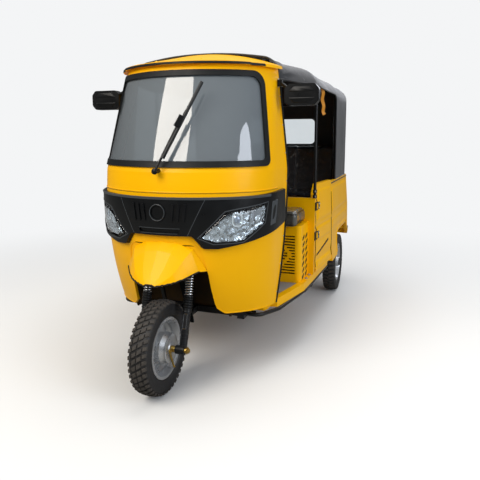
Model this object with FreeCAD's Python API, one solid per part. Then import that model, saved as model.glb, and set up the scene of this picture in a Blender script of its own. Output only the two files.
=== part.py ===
"""Three-wheeled auto rickshaw: steel cowl and body on a tube chassis, with a canvas canopy.

Millimetres. +Z is up, the vehicle faces -Y and +X is its left side.
Stations (y) are measured backward from a line just ahead of the front axle while the pieces are drawn.
Every piece is then moved by STATION_ZERO_Y, so that the origin is under the middle of the vehicle.
"""
import FreeCAD, Part
import math
import os
from functools import lru_cache

from FreeCAD import Placement, Rotation, Vector

# Wheels
TYRE_R = 240.0
TYRE_W = 104.0
BEAD_R = 145.0
RIM_FLANGE_R = 155.5
RIM_W = 82.0
FLANGE_T = 5.0
FRONT_AXLE_Y = 47.0
REAR_AXLE_Y = 2130.0
REAR_WHEEL_X = 540.0
AXLE_R = 8.0
RUN_GAP = 0.05

# Fork and steering column
RAKE_DEG = 17.0
FORK_OFFSET = 38.0
FORK_HALF = 118.0
LEG_BACK = 24.0
LEG_R = 20.0
BOOT_R = 24.0
SPRING_R = 24.0
LEG_TOP = 204.0
BOOT_TOP = 262.0
YOKE_FOOT = 385.0
YOKE_H = 32.0
STEM_R = 17.0
HEAD_FOOT = 432.0
HEAD_TOP = 600.0
HEAD_WALL = 12.0
STEM_TOP = 742.0
FLAP_GAP = 14.0
FLAP_FOOT = math.radians(28.0)
FLAP_TOP = math.radians(60.0)
STAY_X = 62.0
BAR_R = 12.5
GRIP_R = 16.0

# Front cowl: plan sections are a front arc, two corner arcs and two sides that toe in
COWL_WALL = 18.0
CORNER_R = 340.0
FRONT_TURN_DEG = 40.0
COWL_FOOT_Z = 370.0
WAIST_Z = 1120.0
COWL_TOP_Z = 1760.0
COWL_REAR_Y = 655.0
SEAM_GAP = 0.3

# Floor, seats and partition
PAN_FOOT_Z = 340.0
PAN_TOP_Z = 380.0
PAN_SHEET = 16.0
SILL_RISE = 8.0
SILL_W = 40.0
SILL_HOLE_X = 545.0
SILL_HOLE_Y = 1010.0
SILL_HOLE_SPACING = 90.0
SILL_HOLE_R = 4.5
MAT_T = 5.0
BASE_FRONT_Y = 900.0
BASE_HALF = 530.0
BASE_TOP_Z = 745.0
BASE_WALL = 8.0
BULKHEAD_Y = 1120.0
BULKHEAD_T = 25.0
BULKHEAD_TOP_Z = 895.0
POST_DEPTH = 30.0
POST_W = 32.0
POST_FOOT_HALF = 570.0
POST_TOP_HALF = 572.0

# Doors
DOOR_FRONT_Y = 1172.0
DOOR_REAR_Y = 1590.0
DOOR_FOOT_Z = 398.0
DOOR_TOP_Z = 980.0
DOOR_T = 28.0
DOOR_OUTER_X = 606.0
DOOR_SPLAY_DEG = 5.5
HINGE_X = 576.0
HINGE_Y = 1166.0
HINGE_HEIGHTS = (645.0, 840.0)
PIN_R = 6.0
KNUCKLE_R = 10.0
KNUCKLE_H = 36.0

# Rear body and canopy
BODY_FRONT_Y = 1600.0
BODY_REAR_Y = 2520.0
BODY_FOOT_Z = 372.0
BODY_TOP_Z = 962.0
BODY_WALL = 24.0
ARCH_FRONT_Y = 1835.0
ARCH_TOP_Z = 552.0
TUB_INNER_X = 452.0
TUB_TOP_Z = 640.0
CANOPY_T = 10.0
CANOPY_HALF = 588.0
CANOPY_FRONT_HALF = 453.0
CANOPY_CROWN_Z = 1765.0
CANOPY_FRONT_Y = 658.0
CANOPY_REAR_Y = 2490.0
VALANCE_Z = 1605.0
QUARTER_Y = 1850.0
BUMPER_R = 22.0
BUMPER_Z = (350.0, 452.0)
BUMPER_ARM_R = 16.0
BUMPER_Y = 2603.0

REAR_END_Y = BUMPER_Y + BUMPER_R
FRONT_END_Y = FRONT_AXLE_Y - TYRE_R
STATION_ZERO_Y = -(REAR_END_Y + FRONT_END_Y) / 2
RAKE = math.radians(RAKE_DEG)

X_AXIS = Vector(1, 0, 0)
Y_AXIS = Vector(0, 1, 0)
Z_AXIS = Vector(0, 0, 1)


def block(x, y, z):
    """Box from three (low, high) pairs."""
    return Part.makeBox(x[1] - x[0], y[1] - y[0], z[1] - z[0], Vector(x[0], y[0], z[0]))


def rod(start, end, radius, bore=0.0):
    """Round bar or tube from start to end."""
    a, b = Vector(*start), Vector(*end)
    bar = Part.makeCylinder(radius, (b - a).Length, a, b - a)
    if bore:
        bar = bar.cut(Part.makeCylinder(bore, (b - a).Length, a, b - a))
    return bar


def mirrored(shape):
    """The same shape on the vehicle's other side."""
    return shape.mirror(Vector(0, 0, 0), X_AXIS)


def both_sides(shape):
    """A left-hand shape and its right-hand twin."""
    return join([shape, mirrored(shape)])


def join(shapes):
    """One shape from many, with needless seams taken out."""
    whole = shapes[0]
    if len(shapes) > 1:
        whole = shapes[0].multiFuse(shapes[1:])
    return whole.removeSplitter()


def rounded_wire(corners, place):
    """Closed wire through corners (a, b, radius); place turns (a, b) into a point."""
    edges = []
    ends = []
    count = len(corners)
    for i, (a, b, radius) in enumerate(corners):
        here = Vector(a, b, 0)
        before = Vector(*corners[i - 1][:2], 0) - here
        after = Vector(*corners[(i + 1) % count][:2], 0) - here
        if radius <= 0:
            ends.append((here, here))
            continue
        before.normalize()
        after.normalize()
        half = before.getAngle(after) / 2
        reach = radius / math.tan(half)
        start, end = here + before * reach, here + after * reach
        middle = before + after
        middle.normalize()
        crown = here + middle * (radius / math.sin(half) - radius)
        ends.append((start, end))
        edges.append(Part.Arc(place(start), place(crown), place(end)).toShape())
    for i in range(count):
        a, b = ends[i][1], ends[(i + 1) % count][0]
        if (b - a).Length > 1e-6:
            edges.append(Part.makeLine(place(a), place(b)))
    return Part.Wire(Part.__sortEdges__(edges))


def plan_prism(corners, z_low, z_high):
    """Prism with a plan outline (x, y, radius)."""
    face = Part.Face(rounded_wire(corners, lambda p: Vector(p.x, p.y, z_low)))
    return face.extrude(Z_AXIS * (z_high - z_low))


def side_prism(corners, x_low, x_high):
    """Prism with a side outline (y, z, radius)."""
    face = Part.Face(rounded_wire(corners, lambda p: Vector(x_low, p.x, p.y)))
    return face.extrude(X_AXIS * (x_high - x_low))


def front_prism(corners, y_low, y_high):
    """Prism with a front outline (x, z, radius)."""
    face = Part.Face(rounded_wire(corners, lambda p: Vector(p.x, y_low, p.y)))
    return face.extrude(Y_AXIS * (y_high - y_low))


def oblique_prism(corners):
    """Left-hand prism seen along 45 degrees; its outline is (u, z, radius), u = (x + y) / sqrt 2."""
    root = math.sqrt(0.5)
    reach = 900.0
    near = Vector(reach * root, -reach * root, 0)
    face = Part.Face(rounded_wire(corners, lambda p: Vector(p.x * root, p.x * root, p.y) + near))
    prism = face.extrude(Vector(-2 * reach * root, 2 * reach * root, 0))
    return prism.common(block((0, 900), (-300, 900), (200, 2000)))


def bend_piece(start, centre, axis, angle, radius, along):
    """Turned bend of a round tube that begins at start and runs along."""
    ring = Part.Face(Part.Wire(Part.makeCircle(radius, start, along)))
    return ring.revolve(centre, axis, angle)


def bent_tube(points, radius, bend):
    """Round tube along straight runs joined by tangent bends of one radius."""
    route = [Vector(*p) for p in points]
    pieces = []
    start = route[0]
    for before, here, after in zip(route, route[1:], route[2:]):
        back = before - here
        ahead = after - here
        back.normalize()
        ahead.normalize()
        half = back.getAngle(ahead) / 2
        reach = bend / math.tan(half)
        a, b = here + back * reach, here + ahead * reach
        middle = back + ahead
        middle.normalize()
        centre = here + middle * (bend / math.sin(half))
        if (a - start).Length > 1e-6:
            pieces.append(rod(start, a, radius))
        axis = (a - centre).cross(b - centre)
        turn = math.degrees(math.pi - 2 * half)
        pieces.append(bend_piece(a, centre, axis, turn, radius, back))
        start = b
    pieces.append(rod(start, route[-1], radius))
    return join(pieces)


def turned(profile, axis_point, axis):
    """Solid of revolution of a closed wire."""
    return Part.Face(profile).revolve(axis_point, axis, 360)


# Wheels: profiles are (x across the wheel, radius from the axle, corner radius)


def wheel_ring(corners):
    """Ring turned about the X axis from a section (x, r, corner radius)."""
    wire = rounded_wire(corners, lambda p: Vector(p.x, 0, p.y))
    return turned(wire, Vector(0, 0, 0), X_AXIS)


def tyre():
    """Round-shouldered tyre, out to the tips of its tread."""
    half = TYRE_W / 2
    bead_x = RIM_W / 2 - FLANGE_T - SEAM_GAP
    left = [
        (-bead_x, BEAD_R + SEAM_GAP, 0), (-bead_x, RIM_FLANGE_R + SEAM_GAP, 0),
        (-half + 2.0, RIM_FLANGE_R + 24.0, 0), (-half, TYRE_R - 42.0, 0), (-half + 7.0, TYRE_R - 13.0, 0),
        (-half * 0.5, TYRE_R, 0),
    ]
    right = [(-x, r, corner) for x, r, corner in reversed(left)]
    return wheel_ring(left + right)


def rim(drum_r, drum_half, bore_r):
    """Pressed disc rim: barrel with upright edges, dished disc and brake drum, as one section."""
    half = RIM_W / 2
    sheet = 4.0
    barrel = wheel_ring([
        (-half, RIM_FLANGE_R, 0), (-half, BEAD_R - sheet, 0), (-14.0, BEAD_R - 18.0, 0),
        (14.0, BEAD_R - 18.0, 0), (half, BEAD_R - sheet, 0), (half, RIM_FLANGE_R, 0),
        (half - FLANGE_T, RIM_FLANGE_R, 0), (half - FLANGE_T, BEAD_R, 0), (12.0, BEAD_R - 14.0, 0),
        (-12.0, BEAD_R - 14.0, 0), (FLANGE_T - half, BEAD_R, 0), (FLANGE_T - half, RIM_FLANGE_R, 0),
    ])
    disc_x = 6.0
    disc = wheel_ring([
        (disc_x, BEAD_R - 16.0, 0), (disc_x + 14.0, 112.0, 0), (disc_x + 8.0, 84.0, 0),
        (disc_x + 8.0, bore_r, 0), (disc_x - 4.0, bore_r, 0), (disc_x - 4.0, 86.0, 0),
        (disc_x + 4.0, 112.0, 0), (disc_x - 8.0, BEAD_R - 16.0, 0),
    ])
    drum = wheel_ring([
        (-drum_half, drum_r * 0.8, 0), (-drum_half, bore_r, 0), (drum_half, bore_r, 0),
        (drum_half, 34.0, 0), (disc_x + 20.0, 42.0, 0), (disc_x + 10.0, drum_r * 0.9, 0),
        (-drum_half + 24.0, drum_r, 0),
    ])
    return join([barrel, disc, drum])


FRONT_HUB_HALF = 60.0
REAR_HUB_HALF = 52.0


def at_front(shape):
    """A wheel piece carried to the front axle."""
    return shape.translated(Vector(0, FRONT_AXLE_Y, TYRE_R))


def at_rear(shape, side):
    """A wheel piece carried to a rear axle end, outer face outward."""
    placed = shape if side > 0 else mirrored(shape)
    return placed.translated(Vector(side * REAR_WHEEL_X, REAR_AXLE_Y, TYRE_R))


# Fork: drawn upright over the front axle, then leaned back by the rake


def raked(shape):
    """Lean a fork piece back about the front axle, with heights measured up the column."""
    lean = Placement(Vector(0, FRONT_AXLE_Y, TYRE_R), Rotation(X_AXIS, -RAKE_DEG))
    moved = shape.copy()
    moved.Placement = lean.multiply(moved.Placement)
    return moved


def column_point(height):
    """Point on the steering axis at a height up the column."""
    return Vector(0, FRONT_AXLE_Y + FORK_OFFSET * math.cos(RAKE) + height * math.sin(RAKE),
                  TYRE_R + height * math.cos(RAKE) - FORK_OFFSET * math.sin(RAKE))


def column_rod(low, high, radius):
    """Round bar on the steering axis between two heights."""
    return raked(rod((0, FORK_OFFSET, low), (0, FORK_OFFSET, high), radius))


LUG_OUT = LEG_R + 1.0
BOOT_FOLDS = 5
SPRING_TURNS = 6
UPPER_TUBE_R = 15.0


def pleated(foot, top, folds, outer_r, inner_r, bore_r):
    """Ringed sleeve about the Z axis, with one ridge and one groove for each fold."""
    pitch = (top - foot) / folds
    corners = [(bore_r, foot, 0), (outer_r, foot, 0)]
    for k in range(folds):
        z = foot + k * pitch
        corners += [(outer_r, z + pitch * 0.5, 0), (inner_r, z + pitch * 0.75, 0)]
        corners.append((outer_r, z + pitch, 0))
    corners.append((bore_r, top, 0))
    wire = rounded_wire(corners, lambda p: Vector(p.x, 0, p.y))
    return turned(wire, Vector(0, 0, 0), Z_AXIS)


def fork_legs():
    """Lower legs with dust boots and upper tubes, and the lugs that hold the axle ahead of them."""
    pieces = []
    for x in (-FORK_HALF, FORK_HALF):
        inner, outer = math.copysign(FORK_HALF - 26.0, x), math.copysign(FORK_HALF + LUG_OUT, x)
        boot = pleated(LEG_TOP - 6.0, BOOT_TOP + 1.0, BOOT_FOLDS, BOOT_R, BOOT_R - 5.0, UPPER_TUBE_R - 1.0)
        pieces += [
            rod((x, LEG_BACK, -12.0), (x, LEG_BACK, LEG_TOP), LEG_R),
            rod((inner, 0, 0), (outer, 0, 0), 22.0),
            rod((x, LEG_BACK, LEG_TOP), (x, LEG_BACK, YOKE_FOOT), UPPER_TUBE_R),
            boot.translated(Vector(x, LEG_BACK, 0)),
        ]
    legs = join(pieces)
    bore = rod((-FORK_HALF - 60.0, 0, 0), (FORK_HALF + 60.0, 0, 0), AXLE_R)
    return raked(legs.cut(bore))


def fork_springs():
    """Coil springs over the upper tubes, as ringed sleeves between boot and yoke."""
    spring = pleated(BOOT_TOP + 3.0, YOKE_FOOT, SPRING_TURNS, SPRING_R, SPRING_R - 7.0, UPPER_TUBE_R + 0.5)
    return raked(Part.makeCompound([spring.translated(Vector(x, LEG_BACK, 0)) for x in (-FORK_HALF, FORK_HALF)]))


def steering_stem():
    """Fork yoke with the stem that turns in the head tube."""
    half = FORK_HALF + 30.0
    front, rear = LEG_BACK - 28.0, LEG_BACK + 28.0
    back = FORK_OFFSET + STEM_R + 10.0
    yoke = plan_prism([(-half, front, 26), (half, front, 26), (half, rear, 24), (52, back, 20), (-52, back, 20),
                       (-half, rear, 24)], YOKE_FOOT, YOKE_FOOT + YOKE_H)
    return join([raked(yoke), column_rod(YOKE_FOOT, STEM_TOP, STEM_R - RUN_GAP)])


def handlebar():
    """Swept-back bar in a clamp on the stem, with grips and levers."""
    grip_y, end_x, end_y, drop = 230.0, 248.0, 270.0, -12.0
    clamp_y = 36.0
    height = STEM_TOP + 14.0 + BAR_R - drop
    bar = bent_tube([
        (-end_x, end_y, 0), (-150.0, grip_y, 0), (-96.0, clamp_y, drop), (96.0, clamp_y, drop),
        (150.0, grip_y, 0), (end_x, end_y, 0),
    ], BAR_R, 34.0)
    pieces = [bar, block((-34, 34), (-26, clamp_y + 22.0), (drop - BAR_R - 14.0, drop - BAR_R + 2.0))]
    for side in (-1, 1):
        grip_start = (side * 160.0, grip_y + 4.0, 0)
        pieces.append(rod(grip_start, (side * (end_x + 2.0), end_y + 1.0, 0), GRIP_R))
    return raked(join(pieces).translated(Vector(0, FORK_OFFSET, height)))


def front_axle():
    """Axle through both fork lugs, with nuts and the brake lever."""
    reach = FORK_HALF + LUG_OUT + 18.0
    nut_x = FORK_HALF + LUG_OUT + SEAM_GAP
    axle = rod((-reach, 0, 0), (reach, 0, 0), AXLE_R - RUN_GAP)
    nuts = [rod((s * nut_x, 0, 0), (s * (nut_x + 13.0), 0, 0), 13.0) for s in (-1, 1)]
    collars = [rod((s * (FRONT_HUB_HALF + 5.2), 0, 0), (s * (FORK_HALF - 26.3), 0, 0), 16.0)
               for s in (-1, 1)]
    return raked(join([axle] + nuts + collars))


def mud_flap():
    """Stay and flap behind the front tyre, hung from the yoke."""
    inner = TYRE_R + FLAP_GAP
    foot = Vector(math.cos(FLAP_TOP), math.sin(FLAP_TOP), 0) * (inner + 4.0)
    stay = side_prism([
        (8.0, YOKE_FOOT, 0), (24.0, YOKE_FOOT, 0), (foot.x + 8.0, foot.y + 2.0, 0),
        (foot.x - 2.0, foot.y - 4.0, 0), (8.0, YOKE_FOOT - 18.0, 0),
    ], STAY_X - 9.0, STAY_X + 9.0)
    stays = [stay, mirrored(stay)]
    outer_ring = Part.makeCylinder(inner + 8.0, 150.0, Vector(-75, 0, 0), X_AXIS)
    inner_ring = Part.makeCylinder(inner, 150.0, Vector(-75, 0, 0), X_AXIS)
    far = 420.0
    sector = side_prism([(0, 0, 0), (far, far * math.tan(FLAP_FOOT), 0),
                         (far, far * math.tan(FLAP_TOP + 0.05), 0)], -90, 90)
    flap = outer_ring.cut(inner_ring).common(sector)
    return raked(join(stays + [flap]))


# Cowl: levels are z, front y, rear y, half width at the rear edge, toe-in of the sides in degrees

LOWER_LEVELS = (
    (COWL_FOOT_Z - 30.0, 220.0, 530.0, 468.0, 12.0),
    (745.0, 93.0, 618.0, 495.0, 4.0),
    (WAIST_Z, 91.0, COWL_REAR_Y, 502.0, 4.0),
)
UPPER_LEVELS = (
    (WAIST_Z, 91.0, COWL_REAR_Y, 502.0, 4.0),
    (1640.0, 280.0, COWL_REAR_Y, 445.0, 4.0),
)
LID_LEVEL = (COWL_TOP_Z + 60.0, 348.0, COWL_REAR_Y, 424.0, 4.0)


def cowl_wire(z, front, rear, half, toe_deg, inset, past):
    """Plan section of the cowl at one height, moved inward by inset, its open end moved past the rear."""
    turn, toe = math.radians(FRONT_TURN_DEG), math.radians(toe_deg)
    side_turn = math.pi / 2 - toe
    slope = math.tan(toe)
    run = (half - CORNER_R * math.sin(side_turn) - (rear - front) * slope
           + CORNER_R * (1 - math.cos(side_turn)) * slope)
    spread = run / (math.sin(turn) - (1 - math.cos(turn)) * slope)
    front_r = spread + CORNER_R
    nose = Vector(0, front + front_r, z)
    corner = Vector(spread * math.sin(turn), front + front_r - spread * math.cos(turn), z)

    def on(centre, radius, angle):
        return centre + Vector(radius * math.sin(angle), -radius * math.cos(angle), 0)

    join_a = on(nose, front_r - inset, turn)
    join_b = on(corner, CORNER_R - inset, side_turn)
    mid = on(corner, CORNER_R - inset, (turn + side_turn) / 2)
    end_y = rear + past
    end = Vector(join_b.x + (end_y - join_b.y) * slope, end_y, z)

    def left(p):
        return Vector(-p.x, p.y, p.z)

    edges = [
        Part.makeLine(left(end), left(join_b)),
        Part.Arc(left(join_b), left(mid), left(join_a)).toShape(),
        Part.Arc(left(join_a), on(nose, front_r - inset, 0), join_a).toShape(),
        Part.Arc(join_a, mid, join_b).toShape(),
        Part.makeLine(join_b, end),
        Part.makeLine(end, left(end)),
    ]
    return Part.Wire(edges)


@lru_cache(maxsize=None)
def cowl_body(inset, past=0.0):
    """Solid bounded by the cowl's surface moved inward by inset."""
    lower = Part.makeLoft([cowl_wire(*row, inset, past) for row in LOWER_LEVELS], True, False)
    upper_rows = UPPER_LEVELS + (LID_LEVEL,)
    upper = Part.makeLoft([cowl_wire(*row, inset, past) for row in upper_rows], True, True)
    return lower.fuse(upper)


def roof_slab(foot, thick, y_low, y_high, half, brow=0.0):
    """Crowned sheet over the cab: arched across and rising to the rear, thicker in front by the brow."""
    wires = []
    for y, extra in ((y_low, brow), (y_high, 0.0)):
        crown, edge = roof_crown(y), roof_edge(y)
        low, top = foot, foot + thick + extra
        at_x = lambda x, z, y=y: Vector(x, y, z)
        wires.append(Part.Wire([
            Part.makeLine(at_x(-half, edge + low), at_x(-half, edge + top)),
            Part.Arc(at_x(-half, edge + top), at_x(0, crown + top), at_x(half, edge + top)).toShape(),
            Part.makeLine(at_x(half, edge + top), at_x(half, edge + low)),
            Part.Arc(at_x(half, edge + low), at_x(0, crown + low), at_x(-half, edge + low)).toShape(),
        ]))
    return Part.makeLoft(wires, True, True)


VISOR_OUT = 25.0
VISOR_T = 14.0
CROWN_T = 20.0
BROW_T = 25.0
ROOF_HALF = 520.0


def roof_crown(y):
    """Height of the roof sheet's underside on the centre line."""
    return 1650.0 + (y - 240.0) * (1742.0 - 1650.0) / (COWL_REAR_Y - 240.0)


def roof_edge(y):
    """Height of the roof sheet's underside at its side limit."""
    return 1606.0 + (y - 240.0) * (1634.0 - 1606.0) / (COWL_REAR_Y - 240.0)


def roof_visor():
    """Roof sheet that overhangs the windscreen, with a raised panel behind its lip."""
    lip = cowl_body(-VISOR_OUT).common(roof_slab(0, VISOR_T, 150.0, COWL_REAR_Y, ROOF_HALF))
    raised = cowl_body(4.0).common(roof_slab(VISOR_T, CROWN_T, 150.0, COWL_REAR_Y, ROOF_HALF, BROW_T))
    return join([lip, raised])


# Outlines on the cowl, seen at 45 degrees: u, z, corner radius

SCREEN_OUTLINE = ((-200.0, 1144.0, 0), (618.0, 1144.0, 38), (640.0, 1628.0, 70), (-200.0, 1628.0, 0))
GASKET_W = 30.0
MASK_OUTLINE = (
    (-200.0, 998.0, 0), (500.0, 1002.0, 0), (762.0, 1012.0, 6), (772.0, 830.0, 30),
    (440.0, 766.0, 120), (305.0, 744.0, 30), (236.0, 747.0, 14), (184.0, 811.0, 20), (-200.0, 811.0, 0),
)
LAMP_OUTLINE = (
    (216.0, 804.0, 6), (338.0, 924.0, 24), (575.0, 960.0, 20), (552.0, 858.0, 20),
    (428.0, 782.0, 50), (288.0, 774.0, 14),
)


def ring_outline(outline, inset):
    """The windscreen outline moved inward by inset."""
    low, high = outline[1], outline[2]
    return ((outline[0][0], low[1] + inset, 0), (low[0] - inset, low[1] + inset, low[2] - inset * 0.5),
            (high[0] - inset, high[1] - inset, high[2] - inset * 0.5), (outline[3][0], high[1] - inset, 0))


def wheel_opening():
    """Space cut in the nose for the front wheel and fork."""
    return front_prism([
        (-196.0, 762.0, 60), (196.0, 762.0, 60), (221.0, 600.0, 0), (224.0, 520.0, 0),
        (234.0, 404.0, 0), (304.0, 330.0, 0), (304.0, 300.0, 0), (-304.0, 300.0, 0),
        (-304.0, 330.0, 0), (-234.0, 404.0, 0), (-224.0, 520.0, 0), (-221.0, 600.0, 0),
    ], -100.0, 300.0)


def wing_foot():
    """Space cut under the cowl."""
    return block((-700, 700), (-200, 900), (200, COWL_FOOT_Z))


@lru_cache(maxsize=None)
def cowl_shell(outer, inner):
    """Sheet between two offsets of the cowl surface, open at the rear."""
    return cowl_body(outer).cut(cowl_body(inner, 80.0))


def front_cowl():
    """Nose, sides and windscreen posts in one pressing, open at the rear and for the wheel."""
    shell = cowl_shell(0.0, COWL_WALL)
    above = roof_slab(-SEAM_GAP, 400.0, 0.0, COWL_REAR_Y + 60.0, ROOF_HALF)
    screen = oblique_prism(SCREEN_OUTLINE)
    spindle = rod((WIPER_X, 0, WIPER_Z), (WIPER_X, 200, WIPER_Z), SPINDLE_R + SEAM_GAP)
    shell = shell.cut(above).cut(wing_foot()).cut(wheel_opening()).cut(spindle)
    return shell.cut(screen).cut(mirrored(screen)).removeSplitter()


def on_both(half):
    """Left half, cut at the middle, joined to its mirror."""
    return join([half, mirrored(half)])


def windshield_gasket():
    """Rubber frame that fills the windscreen opening and stands proud of it."""
    outline = ring_outline(SCREEN_OUTLINE, SEAM_GAP)
    ring = oblique_prism(outline).cut(oblique_prism(ring_outline(SCREEN_OUTLINE, GASKET_W)))
    return on_both(cowl_shell(-9.0, COWL_WALL - 4.0).common(ring))


def windshield():
    """Curved glass inside the rubber frame."""
    pane = oblique_prism(ring_outline(SCREEN_OUTLINE, GASKET_W + SEAM_GAP))
    return on_both(cowl_shell(3.0, 9.0).common(pane))


def nose_y(z, inset):
    """Station of the nose on the centre line at a height, the cowl's surface moved inward by inset."""
    return cowl_body(inset).common(Part.makeLine(Vector(0, -300, z), Vector(0, 300, z))).BoundBox.YMin


def fascia():
    """Black mask across the nose, with the recesses for the lamps, the slats and the round boss."""
    mask = cowl_shell(-20.0, -SEAM_GAP).common(oblique_prism(MASK_OUTLINE))
    recess = cowl_shell(-60.0, -6.0).common(oblique_prism(LAMP_OUTLINE))
    mask = on_both(mask.cut(recess))
    boss_y = nose_y(926.0, -20.0)
    boss = rod((0, boss_y + 12.0, 926.0), (0, boss_y - 5.0, 926.0), 42.0)
    dish = rod((0, boss_y + 3.0, 926.0), (0, boss_y - 6.0, 926.0), 36.0)
    slats = []
    for k in range(3):
        x = 66.0 + k * 30.0
        lean = 10.0
        slats.append(front_prism([(x, 884, 0), (x + 13, 884, 0), (x + 13 + lean, 968, 0), (x + lean, 968, 0)],
                                 40.0, 100.0).common(cowl_shell(-26.0, -14.0)))
    bars = [both_sides(s) for s in slats]
    vent = front_prism([(-118, 846, 8), (118, 846, 8), (104, 824, 8), (-104, 824, 8)], 0.0, 200.0)
    vent = vent.common(cowl_shell(-60.0, -10.0))
    return join([mask.cut(vent), boss] + bars).cut(dish).cut(cowl_body(0.0))


def headlamps():
    """Two lamp units in the mask: body with a domed lens."""
    outline = [(u, z, r) for u, z, r in LAMP_OUTLINE]
    unit = cowl_shell(-19.0, -6.0 - SEAM_GAP).common(oblique_prism(outline))
    centre_u = sum(p[0] for p in outline) / len(outline)
    centre_z = sum(p[1] for p in outline) / len(outline)
    shrunk = [(centre_u + (u - centre_u) * 0.985, centre_z + (z - centre_z) * 0.985, r) for u, z, r in outline]
    unit = unit.common(oblique_prism(shrunk))
    return Part.makeCompound([unit, mirrored(unit)])


# Beak sections: y, crown z, then (x, z) of the two creases and of the lip
BEAK_ROWS = (
    (205.0, 812.0, (92.0, 804.0), (172.0, 764.0), (228.0, 612.0)),
    (150.0, 804.0, (90.0, 796.0), (170.0, 757.0), (216.0, 626.0)),
    (100.0, 787.0, (84.0, 776.0), (158.0, 732.0), (198.0, 632.0)),
    (50.0, 738.0, (72.0, 728.0), (134.0, 690.0), (163.0, 612.0)),
    (5.0, 672.0, (58.0, 663.0), (104.0, 636.0), (122.0, 596.0)),
    (-28.0, 622.0, (40.0, 617.0), (66.0, 604.0), (76.0, 586.0)),
    (-46.0, 594.0, (18.0, 592.0), (30.0, 588.0), (36.0, 580.0)),
)
BEAK_T = 8.0


def beak():
    """Short fender over the fork: a creased sheet that narrows to a round tip."""
    wires = []
    for y, crown, inner_crease, outer_crease, lip in BEAK_ROWS:
        under = ((lip[0] - BEAK_T, lip[1]), (outer_crease[0] - BEAK_T * 0.7, outer_crease[1] - BEAK_T * 0.7),
                 (inner_crease[0], inner_crease[1] - BEAK_T))
        left = (inner_crease, outer_crease, lip) + under
        loop = [Vector(0, y, crown)] + [Vector(x, y, z) for x, z in left] + [Vector(0, y, crown - BEAK_T)]
        loop += [Vector(-x, y, z) for x, z in reversed(left)]
        wires.append(Part.makePolygon(loop + [loop[0]]))
    sheet = Part.makeLoft(wires, True, True)
    return sheet.cut(cowl_body(-SEAM_GAP)).cut(fascia_space())


def fascia_space():
    """Room that the mask takes in front of the cowl."""
    space = cowl_body(-20.0 - SEAM_GAP).common(oblique_prism(MASK_OUTLINE))
    return join([space, mirrored(space)])


WIPER_X = -6.0
WIPER_Z = 1127.0
SPINDLE_R = 11.0
WELL_HALF = 286.0
WELL_TOP_Z = 800.0
WELL_REAR_Y = 455.0
WELL_T = 10.0


def wheel_well():
    """Housing over the front wheel: two sides, a roof and a rear wall, open in front and below."""
    outer = block((-WELL_HALF, WELL_HALF), (0, WELL_REAR_Y), (PAN_FOOT_Z, WELL_TOP_Z))
    inner = block((WELL_T - WELL_HALF, WELL_HALF - WELL_T), (-50, WELL_REAR_Y - WELL_T),
                  (PAN_FOOT_Z - 50, WELL_TOP_Z - WELL_T))
    shell = outer.cut(inner).common(cowl_body(COWL_WALL + SEAM_GAP, 80.0))
    column = column_rod(HEAD_FOOT, HEAD_TOP + 40.0, STEM_R + HEAD_WALL + SEAM_GAP)
    spine = rod((0, 410, 300), (0, 410, 500), 33.0)
    return shell.cut(column).cut(spine)


def dashboard():
    """Shelf under the windscreen with a round instrument housing."""
    shelf = block((-480, 480), (0, 300), (1052, 1086)).common(cowl_body(COWL_WALL + SEAM_GAP, 80.0))
    pod = rod((0, 222, 1080), (0, 222, 1128), 62.0)
    return join([shelf, pod])


def wiper():
    """Wiper spindle below the glass, its arm and blade."""
    pieces = [
        rod((WIPER_X, 108, WIPER_Z), (WIPER_X, 52, WIPER_Z), SPINDLE_R),
        rod((WIPER_X, 56, WIPER_Z), (98, 128, 1372), 6.0),
        rod((30, 72, 1190), (184, 204, 1556), 8.0),
    ]
    return join(pieces)


def mirrors():
    """Door mirrors: clamp plate on the windscreen post, short arm and box housing."""
    plate = block((448, 454), (604, 640), (1548, 1606))
    foot = block((452, 478), (612, 632), (1560, 1594))
    arm = rod((470, 622, 1577), (520, 590, 1545), 9.0)
    shell = front_prism([(506, 1470, 18), (530, 1454, 18), (668, 1454, 22), (690, 1480, 18),
                         (690, 1540, 18), (668, 1566, 18), (530, 1566, 18), (506, 1545, 18)], 556.0, 604.0)
    left = join([foot, arm, shell])
    return Part.makeCompound([left, mirrored(left)])


# Floor


PAN_ROWS = ((440.0, 541.0), (478.0, 549.0), (556.0, 900.0), (566.0, 1165.0), (582.0, 1596.0))


def pan_outline(inset):
    """Plan corners of the floor, both sides, moved inward by inset."""
    left = [(436.0 - inset, 462.0 + inset, 20)] + [(x - inset, y, 0) for x, y in PAN_ROWS]
    left[-1] = (left[-1][0], left[-1][1] - inset * 0.3, 0)
    right = [(-x, y, r) for x, y, r in reversed(left)]
    return left + right


def floor_pan():
    """Floor tray with raised sills, open over the engine."""
    tray = plan_prism(pan_outline(0.0), PAN_FOOT_Z, PAN_TOP_Z + SILL_RISE)
    above = plan_prism(pan_outline(SILL_W), PAN_TOP_Z, PAN_TOP_Z + 60.0)
    below = plan_prism(pan_outline(SILL_W), PAN_FOOT_Z - 20.0, PAN_TOP_Z - PAN_SHEET)
    engine = block((-196, 196), (BASE_FRONT_Y + 20.0, BULKHEAD_Y - 6.0), (200, 500))
    gap = cowl_shell(-SEAM_GAP, COWL_WALL + SEAM_GAP)
    pan = tray.cut(above).cut(below).cut(engine).cut(gap)
    for k in range(2):
        y = SILL_HOLE_Y + k * SILL_HOLE_SPACING
        hole = rod((SILL_HOLE_X, y, PAN_FOOT_Z - 10.0), (SILL_HOLE_X, y, PAN_TOP_Z + 20.0), SILL_HOLE_R)
        pan = pan.cut(hole).cut(mirrored(hole))
    return max(pan.Solids, key=lambda s: s.Volume)


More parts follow.
